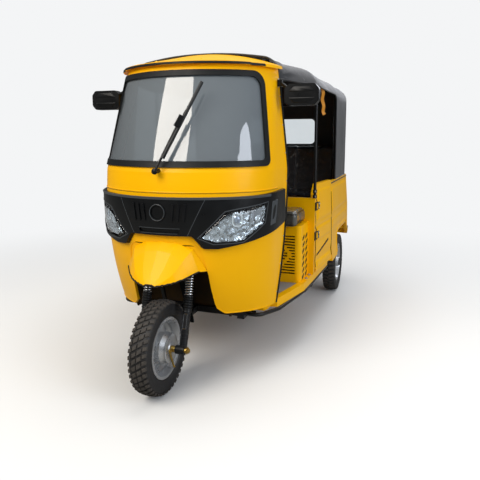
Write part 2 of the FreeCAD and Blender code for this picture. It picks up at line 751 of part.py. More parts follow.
def sill_space():
    """Room that the raised sills take above the floor."""
    raised = plan_prism(pan_outline(-2.0), PAN_TOP_Z - 1.0, PAN_TOP_Z + SILL_RISE + SEAM_GAP)
    return raised.cut(plan_prism(pan_outline(SILL_W + SEAM_GAP), PAN_TOP_Z - 10.0, PAN_TOP_Z + 60.0))


def pan_half(y):
    """Half width of the floor at a station behind the cowl."""
    for (x_a, y_a), (x_b, y_b) in zip(PAN_ROWS, PAN_ROWS[1:]):
        if y <= y_b:
            return x_a + (x_b - x_a) * (y - y_a) / (y_b - y_a)
    return PAN_ROWS[-1][0]


def floor_mat():
    """Ribbed mat on the driver's floor."""
    inset = SILL_W + 6.0
    rows = [(386.0, 506.0), (390.0, 556.0)] + [(pan_half(y) - inset, y) for y in (610.0, BASE_FRONT_Y - 3.0)]
    left = [(x, y, 8) for x, y in rows]
    right = [(-x, y, r) for x, y, r in reversed(left)]
    return plan_prism(left + right, PAN_TOP_Z, PAN_TOP_Z + MAT_T)


RAIL_X = 300.0
RAIL_W = 40.0
RAIL_FOOT_Z = 290.0
RAIL_H = 50.0
RAIL_KICK = 120.0
TUBE_R = 11.0
TUBE_Z = 328.5


def chassis_frame():
    """Ladder frame with kicked-up tail, spine to the head tube, outriggers and rocker tubes."""
    foot, top = RAIL_FOOT_Z, RAIL_FOOT_Z + RAIL_H
    rail = side_prism([
        (430, foot, 0), (1640, foot, 40), (1760, foot + RAIL_KICK, 40), (2500, foot + RAIL_KICK, 0),
        (2500, top + RAIL_KICK, 0), (1745, top + RAIL_KICK, 40), (1625, top, 40), (430, top, 0),
    ], RAIL_X - RAIL_W / 2, RAIL_X + RAIL_W / 2)
    pieces = [rail, mirrored(rail)]
    outer = {450.0: RAIL_X, 700.0: 480.0, 1140.0: 560.0, 1580.0: 570.0}
    for y, half in outer.items():
        pieces.append(block((-half, half), (y - 18.0, y + 18.0), (foot + 14.0, top)))
    for y in (1860.0, 2300.0, 2482.0):
        pieces.append(block((-RAIL_X, RAIL_X), (y - 18.0, y + 18.0), (foot + RAIL_KICK + 10.0, top + RAIL_KICK)))
    for side in (-1, 1):
        lug = block((170.0, RAIL_X), (960, 1060), (foot + 20.0, top))
        pieces.append(lug if side > 0 else mirrored(lug))
    head = column_rod(HEAD_FOOT, HEAD_TOP, STEM_R + HEAD_WALL)
    mid = column_point((HEAD_FOOT + HEAD_TOP) / 2 - 20.0)
    spine = bent_tube([(0, mid.y, mid.z), (0, 400, mid.z - 20.0), (0, 400, foot + 20.0)], 30.0, 110.0)
    pieces += [head, spine, block((-40, 40), (372, 440), (foot + 14.0, top)),
               block((-24, 24), (420, 452), (foot + 14.0, top))]
    for side in (-1, 1):
        pieces.append(bent_tube([
            (side * RAIL_X, 452, TUBE_Z), (side * 402, 396, TUBE_Z), (side * 486, 560, TUBE_Z),
            (side * 552, 950, TUBE_Z), (side * 572, 1600, TUBE_Z),
        ], TUBE_R, 60.0))
    frame = join(pieces)
    return frame.cut(column_rod(HEAD_FOOT - 20.0, HEAD_TOP + 20.0, STEM_R))


def engine_block():
    """Engine and gearbox as one mass under the driver's seat."""
    return soft_block((-169.7, 169.7), (BASE_FRONT_Y + 25.0, BULKHEAD_Y - 9.0), (262, 690), 18.0)


LOUVRE_ROWS = 14
LOUVRE_PITCH = 18.0
LOUVRE_H = 9.0
LOUVRE_FOOT_Z = 440.0
LOUVRE_END_X = 494.0


def seat_base():
    """Driver's seat base: folded sheet box with louvre slots in front and holes at its sides."""
    front, rear = BASE_FRONT_Y, BULKHEAD_Y - SEAM_GAP
    foot = PAN_TOP_Z + SEAM_GAP
    corners = [(-BASE_HALF, rear, 0), (-BASE_HALF, front, 30), (BASE_HALF, front, 30), (BASE_HALF, rear, 0)]
    box = plan_prism(corners, foot, BASE_TOP_Z)
    half = BASE_HALF - BASE_WALL
    inner = plan_prism([(-half, rear + 40, 0), (-half, front + BASE_WALL, 22), (half, front + BASE_WALL, 22),
                        (half, rear + 40, 0)], foot - 10.0, BASE_TOP_Z - BASE_WALL)
    shell = box.cut(inner)
    cuts = []
    for k in range(LOUVRE_ROWS):
        z = LOUVRE_FOOT_Z + k * LOUVRE_PITCH
        middle = abs(k - (LOUVRE_ROWS - 1) / 2) / ((LOUVRE_ROWS - 1) / 2)
        tip = 466.0 - 96.0 * middle
        for a, b in ((tip + 12.0, LOUVRE_END_X), (180.0, tip - 12.0)):
            if b - a > 14.0:
                slot = block((a, b), (front - 10.0, front + BASE_WALL + 4.0), (z, z + LOUVRE_H))
                cuts += [slot, mirrored(slot)]
    return shell.cut(cuts[0].multiFuse(cuts[1:])).cut(sill_space())


def post_half(z):
    """Half width of the door posts at a height."""
    foot = PAN_TOP_Z + SILL_RISE + SEAM_GAP
    return POST_FOOT_HALF + (POST_TOP_HALF - POST_FOOT_HALF) * (z - foot) / (BULKHEAD_TOP_Z - foot)


def bulkhead():
    """Partition behind the driver, with the door posts folded back at its sides."""
    y0, y1 = BULKHEAD_Y, BULKHEAD_Y + BULKHEAD_T
    foot = PAN_TOP_Z + SILL_RISE + SEAM_GAP
    low, top = POST_FOOT_HALF, POST_TOP_HALF
    panel = front_prism([(-low, foot, 0), (low, foot, 0), (top, BULKHEAD_TOP_Z, 14), (-top, BULKHEAD_TOP_Z, 14)],
                        y0, y1)
    lower = block((-530, 530), (y0, y1), (PAN_TOP_Z + SEAM_GAP, foot))
    post = front_prism([(low - POST_W, foot, 0), (low, foot, 0), (top, BULKHEAD_TOP_Z, 0),
                        (top - POST_W, BULKHEAD_TOP_Z, 0)], y0, y0 + POST_DEPTH)
    return join([panel, lower.cut(sill_space()), post, mirrored(post)])


def soft_block(x, y, z, radius):
    """Plain cushion body with rounded edges."""
    pad = block(x, y, z)
    return pad.makeFillet(radius, pad.Edges)


def driver_cushion():
    """Driver's seat pad."""
    return soft_block((-530, 530), (826, BULKHEAD_Y - 1.0), (BASE_TOP_Z + SEAM_GAP, 838), 30.0)


PAX_BASE_Y = 1760.0
PAX_TOP_Z = 742.0
PAX_REAR_Y = 2196.0


def passenger_seat_base():
    """Bench box: front panel, sides and top, over the kicked-up frame."""
    half = TUB_INNER_X - SEAM_GAP
    outer = block((-half, half), (PAX_BASE_Y, 2300), (PAN_TOP_Z + SEAM_GAP, PAX_TOP_Z))
    inner = block((12 - half, half - 12), (PAX_BASE_Y + 12, 2340), (300, PAX_TOP_Z - 14))
    shell = outer.cut(inner)
    rails = block((RAIL_X - RAIL_W, RAIL_X + RAIL_W), (PAX_BASE_Y - 20, PAX_BASE_Y + 20), (300, 480))
    return shell.cut(rails).cut(mirrored(rails))


def passenger_cushion():
    """Bench pad."""
    return soft_block((-556, 556), (1722, PAX_REAR_Y), (PAX_TOP_Z + SEAM_GAP, 852), 34.0)


def passenger_backrest():
    """Bench back pad, leaning to the rear."""
    pad = soft_block((-556, 556), (0, 96), (0, 500), 34.0)
    pad.Placement = Placement(Vector(0, PAX_REAR_Y + 2.0, 0), Rotation(X_AXIS, -8))
    return pad.translated(Vector(0, 0, PAX_TOP_Z + SEAM_GAP - pad.BoundBox.ZMin))


# Rear body levels: z, half width, front y, rear y

BODY_LEVELS = (
    (BODY_FOOT_Z, 621.0, BODY_REAR_Y + 16.0),
    (470.0, 610.0, BODY_REAR_Y + 12.0),
    (705.0, 606.0, BODY_REAR_Y + 4.0),
    (BODY_TOP_Z, 590.0, BODY_REAR_Y - 16.0),
)
BODY_CORNER_R = 70.0


def body_solid(inset, front, foot_drop=0.0):
    """Solid bounded by the rear body's surface moved inward by inset."""
    wires = []
    for index, (z, half, rear) in enumerate(BODY_LEVELS):
        w, r = half - inset, rear - inset
        level = z - foot_drop if index == 0 else z
        corners = [(-w, front, 0), (w, front, 0), (w, r, BODY_CORNER_R - inset), (-w, r, BODY_CORNER_R - inset)]
        wires.append(rounded_wire(corners, lambda p, z=level: Vector(p.x, p.y, z)))
    return Part.makeLoft(wires, True, True)


def wheel_arch():
    """Side opening over a rear wheel, sloping down to the rear corner."""
    return side_prism([
        (ARCH_FRONT_Y, 300.0, 0), (ARCH_FRONT_Y + 14.0, ARCH_TOP_Z, 90), (2350.0, ARCH_TOP_Z, 100),
        (2500.0, 420.0, 0), (2600.0, 416.0, 0), (2600.0, 300.0, 0),
    ], TUB_INNER_X + 14.0, 700.0)


def rear_body():
    """Rear tub: outer walls, rear panel, rear deck and inner boxes over the wheels."""
    shell = body_solid(0.0, BODY_FRONT_Y).cut(body_solid(BODY_WALL, BODY_FRONT_Y - 60.0, 20.0))
    pieces = [shell]
    tub = block((TUB_INNER_X, 604), (ARCH_FRONT_Y - 24, 2440), (BODY_FOOT_Z, TUB_TOP_Z))
    hollow = block((TUB_INNER_X + 12, 640), (ARCH_FRONT_Y - 12, 2428), (BODY_FOOT_Z - 40, TUB_TOP_Z - 12))
    for side in (tub.cut(hollow), mirrored(tub.cut(hollow))):
        pieces.append(side.common(body_solid(4.0, BODY_FRONT_Y)))
    deck = block((-600, 600), (2330, 2530), (700, 714)).common(body_solid(4.0, BODY_FRONT_Y))
    pieces.append(deck)
    arm_z = RAIL_FOOT_Z + RAIL_KICK + RAIL_H / 2
    arm_hole = rod((RAIL_X, 2400, arm_z), (RAIL_X, 2600, arm_z), BUMPER_ARM_R + SEAM_GAP)
    body = join(pieces)
    for cut in (wheel_arch(), arm_hole):
        body = body.cut(cut).cut(mirrored(cut))
    return body


def door_skin(inset):
    """Cross section of a door as (x, z): tumbled top, waist crease and flared foot."""
    outer = [(12.0, DOOR_FOOT_Z - 10), (0.0, 470.0), (4.0, 520.0), (0.0, 700.0), (3.0, 712.0),
             (-10.0, DOOR_TOP_Z + 10)]
    return [(DOOR_OUTER_X + x - inset, z) for x, z in outer]


def splayed(shape, x, y):
    """Turn a piece of the left door about an upright line, so that its front stands further in."""
    return shape.rotated(Vector(x, y, 0), Z_AXIS, -DOOR_SPLAY_DEG)


def door_left():
    """Left half door with its chamfered top front corner and its hinge knuckles."""
    outer = door_skin(0.0)
    inner = [(x, z) for x, z in reversed(door_skin(DOOR_T))]
    section = front_prism([(x, z, 0) for x, z in outer + inner], DOOR_FRONT_Y, DOOR_REAR_Y)
    outline = side_prism([
        (DOOR_FRONT_Y, DOOR_FOOT_Z, 14), (DOOR_REAR_Y, DOOR_FOOT_Z, 14), (DOOR_REAR_Y, DOOR_TOP_Z, 16),
        (DOOR_FRONT_Y + 56.0, DOOR_TOP_Z, 20), (DOOR_FRONT_Y, DOOR_TOP_Z - 66.0, 30),
    ], 500, 700)
    pieces = [splayed(section.common(outline), DOOR_OUTER_X, DOOR_REAR_Y)]
    bores = []
    for z in HINGE_HEIGHTS:
        low, high = z - KNUCKLE_H / 2, z + KNUCKLE_H / 2
        pieces.append(rod((HINGE_X, HINGE_Y, low), (HINGE_X, HINGE_Y, high), KNUCKLE_R))
        leaf = block((HINGE_X - 14.0, HINGE_X + 4.0), (HINGE_Y, DOOR_FRONT_Y + 56.0), (low, high))
        pieces.append(splayed(leaf, HINGE_X, HINGE_Y))
        bores.append(rod((HINGE_X, HINGE_Y, low), (HINGE_X, HINGE_Y, high), PIN_R + RUN_GAP))
    return join(pieces).cut(bores[0].fuse(bores[1]))


def door_hinges():
    """Fixed hinge leaves with their pins, two a side, on the door posts."""
    pieces = []
    for z in HINGE_HEIGHTS:
        low, high = z - KNUCKLE_H / 2 - 10.0, z + KNUCKLE_H / 2 + 8.0
        inner = post_half(high) + SEAM_GAP
        web_y = HINGE_Y - KNUCKLE_R - 2.0
        pieces.append(join([
            block((inner, inner + 6.0), (BULKHEAD_Y + 2.0, BULKHEAD_Y + POST_DEPTH - 4.0), (low, high)),
            block((inner, HINGE_X + 4.0), (web_y - 8.0, web_y), (low, high)),
            block((HINGE_X - 4.0, HINGE_X + 4.0), (web_y - 2.0, HINGE_Y + 4.0), (low, low + 9.0)),
            rod((HINGE_X, HINGE_Y, low), (HINGE_X, HINGE_Y, high), PIN_R),
        ]))
    return Part.makeCompound(pieces + [mirrored(p) for p in pieces])


# Canopy: arched sections y, half width, crown z, shoulder radius

ARCH_TOP_R = 2000.0
CANOPY_SHOULDER_R = 150.0
CANOPY_TAPER_Y = 1080.0
CANOPY_ROWS = (
    (CANOPY_FRONT_Y, CANOPY_FRONT_HALF, CANOPY_CROWN_Z - 4.0, 112.0),
    (CANOPY_TAPER_Y, CANOPY_HALF, CANOPY_CROWN_Z + 4.0, CANOPY_SHOULDER_R),
)


def arch_points(half, crown, shoulder):
    """Side foot, shoulder start, shoulder middle, top join of an arch on the left."""
    top = Vector(0, crown - ARCH_TOP_R, 0)
    gap = ARCH_TOP_R - shoulder
    centre = Vector(half - shoulder, top.y + math.sqrt(gap ** 2 - (half - shoulder) ** 2), 0)
    lean = math.atan2(half - shoulder, centre.y - top.y)
    meet = top + Vector(math.sin(lean), math.cos(lean), 0) * ARCH_TOP_R
    middle_turn = (lean + math.pi / 2) / 2
    middle = centre + Vector(math.sin(middle_turn), math.cos(middle_turn), 0) * shoulder
    return Vector(half, centre.y, 0), middle, meet


def arch_edges(y, half, crown, shoulder, foot):
    """Edges of an arch from its left foot over to its right foot."""
    start, middle, meet = arch_points(half, crown, shoulder)

    def left(p):
        return Vector(p.x, y, p.y)

    def right(p):
        return Vector(-p.x, y, p.y)

    return [
        Part.makeLine(Vector(half, y, foot), left(start)),
        Part.Arc(left(start), left(middle), left(meet)).toShape(),
        Part.Arc(left(meet), Vector(0, y, crown), right(meet)).toShape(),
        Part.Arc(right(meet), right(middle), right(start)).toShape(),
        Part.makeLine(right(start), Vector(-half, y, foot)),
    ]


def canopy_solid(inset, front):
    """Solid under the canopy's surface moved inward by inset."""
    wires = []
    for y, half, crown, shoulder in CANOPY_ROWS:
        edges = arch_edges(y, half - inset, crown - inset, shoulder - inset, BODY_TOP_Z - 60.0)
        edges.append(Part.makeLine(Vector(inset - half, y, BODY_TOP_Z - 60.0), Vector(half - inset, y, BODY_TOP_Z - 60.0)))
        wires.append(Part.Wire(edges))
    taper = Part.makeLoft(wires, True, True)
    plain = Part.Face(wires[-1]).extrude(Y_AXIS * (CANOPY_REAR_Y + 70.0 - CANOPY_TAPER_Y))
    loaf = taper.fuse(plain)
    rear, crown = CANOPY_REAR_Y - inset, CANOPY_CROWN_Z + 5.0 - inset
    side = side_prism([
        (front, 800.0, 0), (rear + 12.0, 800.0, 0), (rear - 40.0, crown, 270.0 - inset), (front, crown + 14.0, 0),
    ], -700, 700)
    corner = BODY_CORNER_R + 40.0 - inset
    half = CANOPY_HALF - inset
    plan = plan_prism([(-half, 0, 0), (half, 0, 0), (half, rear, corner), (-half, rear, corner)], 700, 2000)
    return loaf.common(side).common(plan)


WINDOW_HALF = 300.0
WINDOW_Z = (1225.0, 1445.0)


def window_prism(inset):
    """Rear window outline, through the canopy's back."""
    half, low, high = WINDOW_HALF - inset, WINDOW_Z[0] + inset, WINDOW_Z[1] - inset
    return front_prism([(-half, low, 40), (half, low, 40), (half, high, 40), (-half, high, 40)], 2300, 2600)


def canopy():
    """Canvas cover: roof, rear quarters and back, open at the sides, in front and below."""
    skin = canopy_solid(0.0, CANOPY_FRONT_Y).cut(canopy_solid(CANOPY_T, CANOPY_FRONT_Y - 40.0))
    side = side_prism([(400, 700, 0), (QUARTER_Y, 700, 0), (QUARTER_Y, VALANCE_Z, 60), (400, VALANCE_Z, 0)],
                      -700, 700)
    foot = block((-700, 700), (0, 3000), (500, BODY_TOP_Z + 0.5))
    return skin.cut(side).cut(foot).cut(window_prism(0.0))


def rear_window():
    """Clear sheet in the canopy's back."""
    sheet = canopy_solid(3.0, CANOPY_FRONT_Y).cut(canopy_solid(CANOPY_T - 3.0, CANOPY_FRONT_Y - 40.0))
    return sheet.common(window_prism(SEAM_GAP))


HOOP_R = 9.5
HOOP_GAP = 0.5


def hoop(y, half, crown, shoulder, foot):
    """Round tube that follows the inside of the canopy across the vehicle."""
    inset = CANOPY_T + HOOP_R + HOOP_GAP
    half, crown, shoulder = half - inset, crown - inset, shoulder - inset
    start, middle, meet = arch_points(half, crown, shoulder)
    centre = Vector(half - shoulder, y, start.y)
    top_centre = Vector(0, y, crown - ARCH_TOP_R)
    lean = math.atan2(meet.x, meet.y - top_centre.z)
    foot_point, spring_point = Vector(half, y, foot), Vector(half, y, start.y)
    left = [
        rod(foot_point, spring_point, HOOP_R),
        bend_piece(spring_point, centre, Vector(0, -1, 0), 90.0 - math.degrees(lean), HOOP_R, Z_AXIS),
    ]
    left_top = Vector(meet.x, y, meet.y)
    along = Vector(-math.cos(lean), 0, math.sin(lean))
    top = bend_piece(left_top, top_centre, Vector(0, -1, 0), 2 * math.degrees(lean), HOOP_R, along)
    return join(left + [mirrored(piece) for piece in left] + [top])


def canopy_frame():
    """Hoops behind the driver, over the door and over the bench, tied by two roof rails."""
    y_b = BULKHEAD_Y + 12.0
    rows = (
        (y_b, CANOPY_HALF, CANOPY_CROWN_Z + 4.0, CANOPY_SHOULDER_R, BULKHEAD_TOP_Z),
        (QUARTER_Y + 20.0, CANOPY_HALF, CANOPY_CROWN_Z + 4.0, CANOPY_SHOULDER_R, BODY_TOP_Z),
    )
    pieces = [hoop(*row) for row in rows]
    for side in (-1, 1):
        pieces.append(rod((side * 360.0, COWL_REAR_Y + SEAM_GAP, 1706), (side * 360.0, y_b, 1712), 10.0))
        pieces.append(rod((side * 360.0, y_b, 1712), (side * 360.0, QUARTER_Y + 20.0, 1710), 10.0))
        pieces.append(rod((side * 360.0, QUARTER_Y + 20.0, 1710), (side * 360.0, 2300.0, 1560), 10.0))
    pieces.append(rod((-360.0, 2300.0, 1560), (360.0, 2300.0, 1560), 10.0))
    return join(pieces)


def tail_lamps():
    """Two upright lamp boxes on the rear panel."""
    y = BODY_REAR_Y - 8.0
    lamp = block((430, 520), (y + 2.0, y + 44.0), (744, 884))
    lamp = lamp.cut(body_solid(-SEAM_GAP, BODY_FRONT_Y))
    return Part.makeCompound([lamp, mirrored(lamp)])


def rear_bumper():
    """Two round bars behind the body, on arms from the frame."""
    z = RAIL_FOOT_Z + RAIL_KICK + RAIL_H / 2
    low, high = BUMPER_Z
    pieces = [rod((-530, BUMPER_Y, low), (530, BUMPER_Y, low), BUMPER_R),
              rod((-596, BUMPER_Y, high), (596, BUMPER_Y, high), BUMPER_R)]
    for x in (-RAIL_X, RAIL_X):
        pieces.append(rod((x, 2500.0 + SEAM_GAP, z), (x, BUMPER_Y, z), BUMPER_ARM_R))
        pieces.append(rod((x, BUMPER_Y, low), (x, BUMPER_Y, high), BUMPER_ARM_R))
    return join(pieces)


AXLE_TUBE_R = 30.0
DIFF_R = 92.0
DRUM_PLATE_R = 94.0
STUB_R = 15.0


def rear_axle():
    """Axle turned as one section, with its differential housing, nose and propeller shaft."""
    plate_x = REAR_WHEEL_X - REAR_HUB_HALF - 10.0
    half = [
        (0, DIFF_R, 0), (34.0, DIFF_R, 0), (66.0, 62.0, 0), (92.0, AXLE_TUBE_R, 0),
        (plate_x - 10.0, AXLE_TUBE_R, 0), (plate_x - 10.0, DRUM_PLATE_R, 0), (plate_x, DRUM_PLATE_R, 0),
        (plate_x, STUB_R - RUN_GAP, 0),
        (REAR_WHEEL_X + REAR_HUB_HALF, STUB_R - RUN_GAP, 0), (REAR_WHEEL_X + REAR_HUB_HALF, 0, 0), (0, 0, 0),
    ]
    side = wheel_ring(half)
    axle = join([side, mirrored(side)]).translated(Vector(0, REAR_AXLE_Y, TYRE_R))
    nose_y, shaft_z = REAR_AXLE_Y - 140.0, TYRE_R + 4.0
    nose = rod((0, nose_y, shaft_z), (0, REAR_AXLE_Y, shaft_z), 44.0)
    shaft = rod((0, BULKHEAD_Y - 9.0 + SEAM_GAP, 282), (0, nose_y + 10.0, shaft_z), 17.0)
    return join([axle, nose, shaft])


def rear_suspension():
    """Two leaf springs that carry the axle under the frame rails."""
    foot = RAIL_FOOT_Z + RAIL_KICK
    eye_r = 18.0
    seat_z = TYRE_R + AXLE_TUBE_R + SEAM_GAP
    eye_z = foot - eye_r
    half_span = 330.0
    pieces = []
    for thick, share in ((9.0, 1.0), (18.0, 0.72), (27.0, 0.46)):
        rise = (eye_z - seat_z - 27.0) * share ** 2
        low = 27.0 - thick

        def at(dy, z):
            return Vector(RAIL_X - 25.0, REAR_AXLE_Y + dy, z)

        span = half_span * share
        base = seat_z + low
        wire = Part.Wire([
            Part.Arc(at(-span, base + rise), at(0, base), at(span, base + rise)).toShape(),
            Part.makeLine(at(span, base + rise), at(span, base + rise + 9.0)),
            Part.Arc(at(span, base + rise + 9.0), at(0, base + 9.0), at(-span, base + rise + 9.0)).toShape(),
            Part.makeLine(at(-span, base + rise + 9.0), at(-span, base + rise)),
        ])
        pieces.append(Part.Face(wire).extrude(X_AXIS * 50.0))
    for dy in (-half_span, half_span):
        pieces.append(rod((RAIL_X - 25.0, REAR_AXLE_Y + dy, eye_z - SEAM_GAP),
                          (RAIL_X + 25.0, REAR_AXLE_Y + dy, eye_z - SEAM_GAP), eye_r))
    spring = join(pieces)
    return Part.makeCompound([spring, mirrored(spring)])


def exhaust():
    """Pipe and silencer under the floor."""
    pipe = rod((-120, BULKHEAD_Y - 9.0 + SEAM_GAP, 274), (-120, 1330, 266), 16.0)
    can = rod((-120, 1320, 262), (-120, 1700, 262), 27.0)
    tail = rod((-120, 1690, 262), (-120, 1850, 262), 11.0)
    return join([pipe, can, tail])


def wheel_nodes():
    """Tyre and rim of each wheel, placed."""
    shape_tyre = tyre()
    front_rim = mirrored(rim(82.0, FRONT_HUB_HALF, AXLE_R))
    rear_rim = rim(96.0, REAR_HUB_HALF, STUB_R)
    return {
        "front_tyre": at_front(shape_tyre),
        "front_rim": at_front(front_rim),
        "rear_tyre_left": at_rear(shape_tyre, 1),
        "rear_rim_left": at_rear(rear_rim, 1),
        "rear_tyre_right": at_rear(shape_tyre, -1),
        "rear_rim_right": at_rear(rear_rim, -1),
    }


def build():
    """All pieces by node name, in drawing stations."""
    door = door_left()
    nodes = {
        "chassis_frame": chassis_frame(),
        "floor_pan": floor_pan(),
        "floor_mat": floor_mat(),
        "front_cowl": front_cowl(),
        "wheel_well": wheel_well(),
        "windshield_gasket": windshield_gasket(),
        "windshield": windshield(),
        "roof_visor": roof_visor(),
        "fascia": fascia(),
        "headlamps": headlamps(),
        "beak": beak(),
        "dashboard": dashboard(),
        "wiper": wiper(),
        "mirrors": mirrors(),
        "seat_base": seat_base(),
        "driver_cushion": driver_cushion(),
        "engine_block": engine_block(),
        "bulkhead": bulkhead(),
        "passenger_seat_base": passenger_seat_base(),
        "passenger_cushion": passenger_cushion(),
        "passenger_backrest": passenger_backrest(),
        "rear_body": rear_body(),
        "door_hinges": door_hinges(),
        "canopy_frame": canopy_frame(),
        "canopy": canopy(),
        "rear_window": rear_window(),
        "tail_lamps": tail_lamps(),
        "rear_bumper": rear_bumper(),
        "rear_axle": rear_axle(),
        "rear_suspension": rear_suspension(),
        "exhaust": exhaust(),
        "steering_stem": steering_stem(),
        "fork_legs": fork_legs(),
        "fork_springs": fork_springs(),
        "handlebar": handlebar(),
        "front_axle": front_axle(),
        "mud_flap": mud_flap(),
        "door_left": door,
        "door_right": mirrored(door),
    }
    nodes.update(wheel_nodes())
    return nodes


def main():
    """Build each piece, move it to the vehicle's own origin and write its file."""
    os.makedirs("parts", exist_ok=True)
    for name, shape in build().items():
        placed = shape.translated(Vector(0, STATION_ZERO_Y, 0))
        placed.exportStep(os.path.join("parts", name + ".step"))
        box = placed.BoundBox
        print(name, placed.isValid(), len(placed.Solids), round(placed.Volume / 1e6, 3),
              [round(v) for v in (box.XMin, box.XMax, box.YMin, box.YMax, box.ZMin, box.ZMax)])


main()
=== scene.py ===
"""Finishes, soft goods, small fittings and studio view for the auto rickshaw, around its CAD model.

Sizes are in millimetres. Stations (y) run backward from a line just ahead of the front axle, as
on the drawing; spot() carries them into the row frame, in metres.
"""

import logging
import math
from collections.abc import Iterable, Sequence
from dataclasses import dataclass
from enum import Enum

import bmesh
import bpy
from mathutils import Matrix, Vector, noise
from mathutils.bvhtree import BVHTree


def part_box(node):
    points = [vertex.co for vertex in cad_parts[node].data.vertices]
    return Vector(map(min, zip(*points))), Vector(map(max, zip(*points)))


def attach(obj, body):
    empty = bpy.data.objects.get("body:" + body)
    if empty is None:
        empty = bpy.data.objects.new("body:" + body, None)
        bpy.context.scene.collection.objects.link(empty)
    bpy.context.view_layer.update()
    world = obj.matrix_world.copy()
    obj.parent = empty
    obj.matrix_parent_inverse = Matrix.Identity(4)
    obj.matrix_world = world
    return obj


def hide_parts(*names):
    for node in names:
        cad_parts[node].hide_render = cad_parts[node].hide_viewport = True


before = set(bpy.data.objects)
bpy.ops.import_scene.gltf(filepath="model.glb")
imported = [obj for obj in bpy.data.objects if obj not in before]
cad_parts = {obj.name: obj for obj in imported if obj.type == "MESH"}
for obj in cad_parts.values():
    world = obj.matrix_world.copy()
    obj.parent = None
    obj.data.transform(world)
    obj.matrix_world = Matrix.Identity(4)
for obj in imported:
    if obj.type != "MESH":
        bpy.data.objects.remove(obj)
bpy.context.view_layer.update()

logging.basicConfig(level=logging.INFO, format="%(message)s")
log = logging.getLogger("rickshaw")

MM = 0.001
STATION_ZERO_Y = -1216.0
SIDE_NAMES = {-1: "right", 1: "left"}
FRONT_AXLE_Y = 47.0
REAR_AXLE_Y = 2130.0
TYRE_R = 240.0
RAKE = math.radians(17.0)
# Station about which the nose curves, and half the width of the body
NOSE_CENTRE_Y = 560.0
BODY_HALF = 560.0
# Starting stations and distance of rays that look at the vehicle from outside
AHEAD = -500.0
BEHIND = 3000.0
BESIDE = 900.0
# Lamps face half forward and half sideways
SLANT = math.sqrt(0.5)
# Size of the patches in which dust lies
DUST_GRIT_MM = 35.0
LEFT = Vector((1, 0, 0)).freeze()
FRONT = Vector((0, -1, 0)).freeze()
BACK = Vector((0, 1, 0)).freeze()
UP = Vector((0, 0, 1)).freeze()
Tree = bpy.types.NodeTree
Socket = bpy.types.NodeSocket
Value = float | tuple[float, ...] | Socket
Points = Sequence[tuple[float, float]]
Hit = tuple[Vector, Vector]


def spot(x: float, y: float, z: float) -> Vector:
    """Point of the row frame, in metres, from drawing stations in millimetres."""
    return Vector((x, y + STATION_ZERO_Y, z)) * MM


def at_place(point: Vector, x_axis: Vector, z_axis: Vector) -> Matrix:
    """Frame with its origin at point.

    Args:
        point: Origin, in the row frame.
        x_axis: Rough direction of the local X axis.
        z_axis: Exact direction of the local Z axis.

    Returns:
        A matrix that takes local points to the row frame.
    """
    z = z_axis.normalized()
    y = z.cross(x_axis).normalized()
    x = y.cross(z)
    turned = Matrix((x, y, z)).transposed().to_4x4()
    return Matrix.Translation(point) @ turned


def local(place: Matrix, x: float, y: float, z: float) -> Vector:
    """Point of the row frame, in metres, from millimetres in a local frame."""
    return place @ (Vector((x, y, z)) * MM)


def moved(x: float, y: float, z: float) -> Matrix:
    """Shift by millimetres."""
    return Matrix.Translation(Vector((x, y, z)) * MM)


def fork_place() -> Matrix:
    """Frame of the fork: origin on the front axle, Z up the legs, in metres."""
    return Matrix.Translation(spot(0, FRONT_AXLE_Y, TYRE_R)) @ Matrix.Rotation(-RAKE, 4, "X")


# Colours and shader nodes


def linear(hex_code: str) -> tuple[float, float, float, float]:
    """Linear colour, with full opacity, of an sRGB hex value."""
    parts = [int(hex_code[i:i + 2], 16) / 255 for i in (1, 3, 5)]
    made = [c / 12.92 if c <= 0.04045 else ((c + 0.055) / 1.055) ** 2.4 for c in parts]
    return (made[0], made[1], made[2], 1.0)


def add_node(tree: Tree, kind: str, settings: dict[str, object],
             sockets: dict[str | int, Value]) -> bpy.types.Node:
    """Add a shader node.

    Args:
        tree: Node tree to add to.
        kind: Node type.
        settings: Properties of the node.
        sockets: Input sockets by name or number, each with a value or an output to link from.

    Returns:
        The new node.
    """
    made = tree.nodes.new(kind)
    for name, setting in settings.items():
        setattr(made, name, setting)
    for key, value in sockets.items():
        if isinstance(value, Socket):
            tree.links.new(value, made.inputs[key])
        else:
            made.inputs[key].default_value = value
    return made


def maths(tree: Tree, operation: str, first: Value, second: Value) -> Socket:
    """Result of an operation on two values."""
    return add_node(tree, "ShaderNodeMath", {"operation": operation}, {0: first, 1: second}).outputs[0]


def grainy(tree: Tree, where: Value, scale: float, detail: float,
           roughness: float = 0.5) -> Socket:
    """Soft noise."""
    return add_node(tree, "ShaderNodeTexNoise", {}, {
        "Vector": where, "Scale": scale, "Detail": detail, "Roughness": roughness,
    }).outputs["Fac"]


def ranged(tree: Tree, value: Value, source: tuple[float, float],
           target: tuple[float, float] = (0.0, 1.0), kind: str = "LINEAR") -> Socket:
    """Value carried over from one range to another.

    Args:
        tree: Node tree to add to.
        value: What is carried over.
        source: Ends of the range that it comes from.
        target: Ends of the range that it goes to.
        kind: How it runs between them.

    Returns:
        The result, which stops at the ends of the range.
    """
    return add_node(tree, "ShaderNodeMapRange", {"interpolation_type": kind}, {
        "Value": value, "From Min": source[0], "From Max": source[1],
        "To Min": target[0], "To Max": target[1],
    }).outputs[0]


def blended(tree: Tree, share: Value, first: Value, second: Value) -> Socket:
    """Second colour laid over the first by a share."""
    return add_node(tree, "ShaderNodeMix", {"data_type": "RGBA"}, {0: share, 6: first, 7: second}).outputs[2]


def shaded(tree: Tree, share: Value, first: Value, second: Value) -> Socket:
    """Second shader laid over the first by a share."""
    return add_node(tree, "ShaderNodeMixShader", {}, {0: share, 1: first, 2: second}).outputs[0]


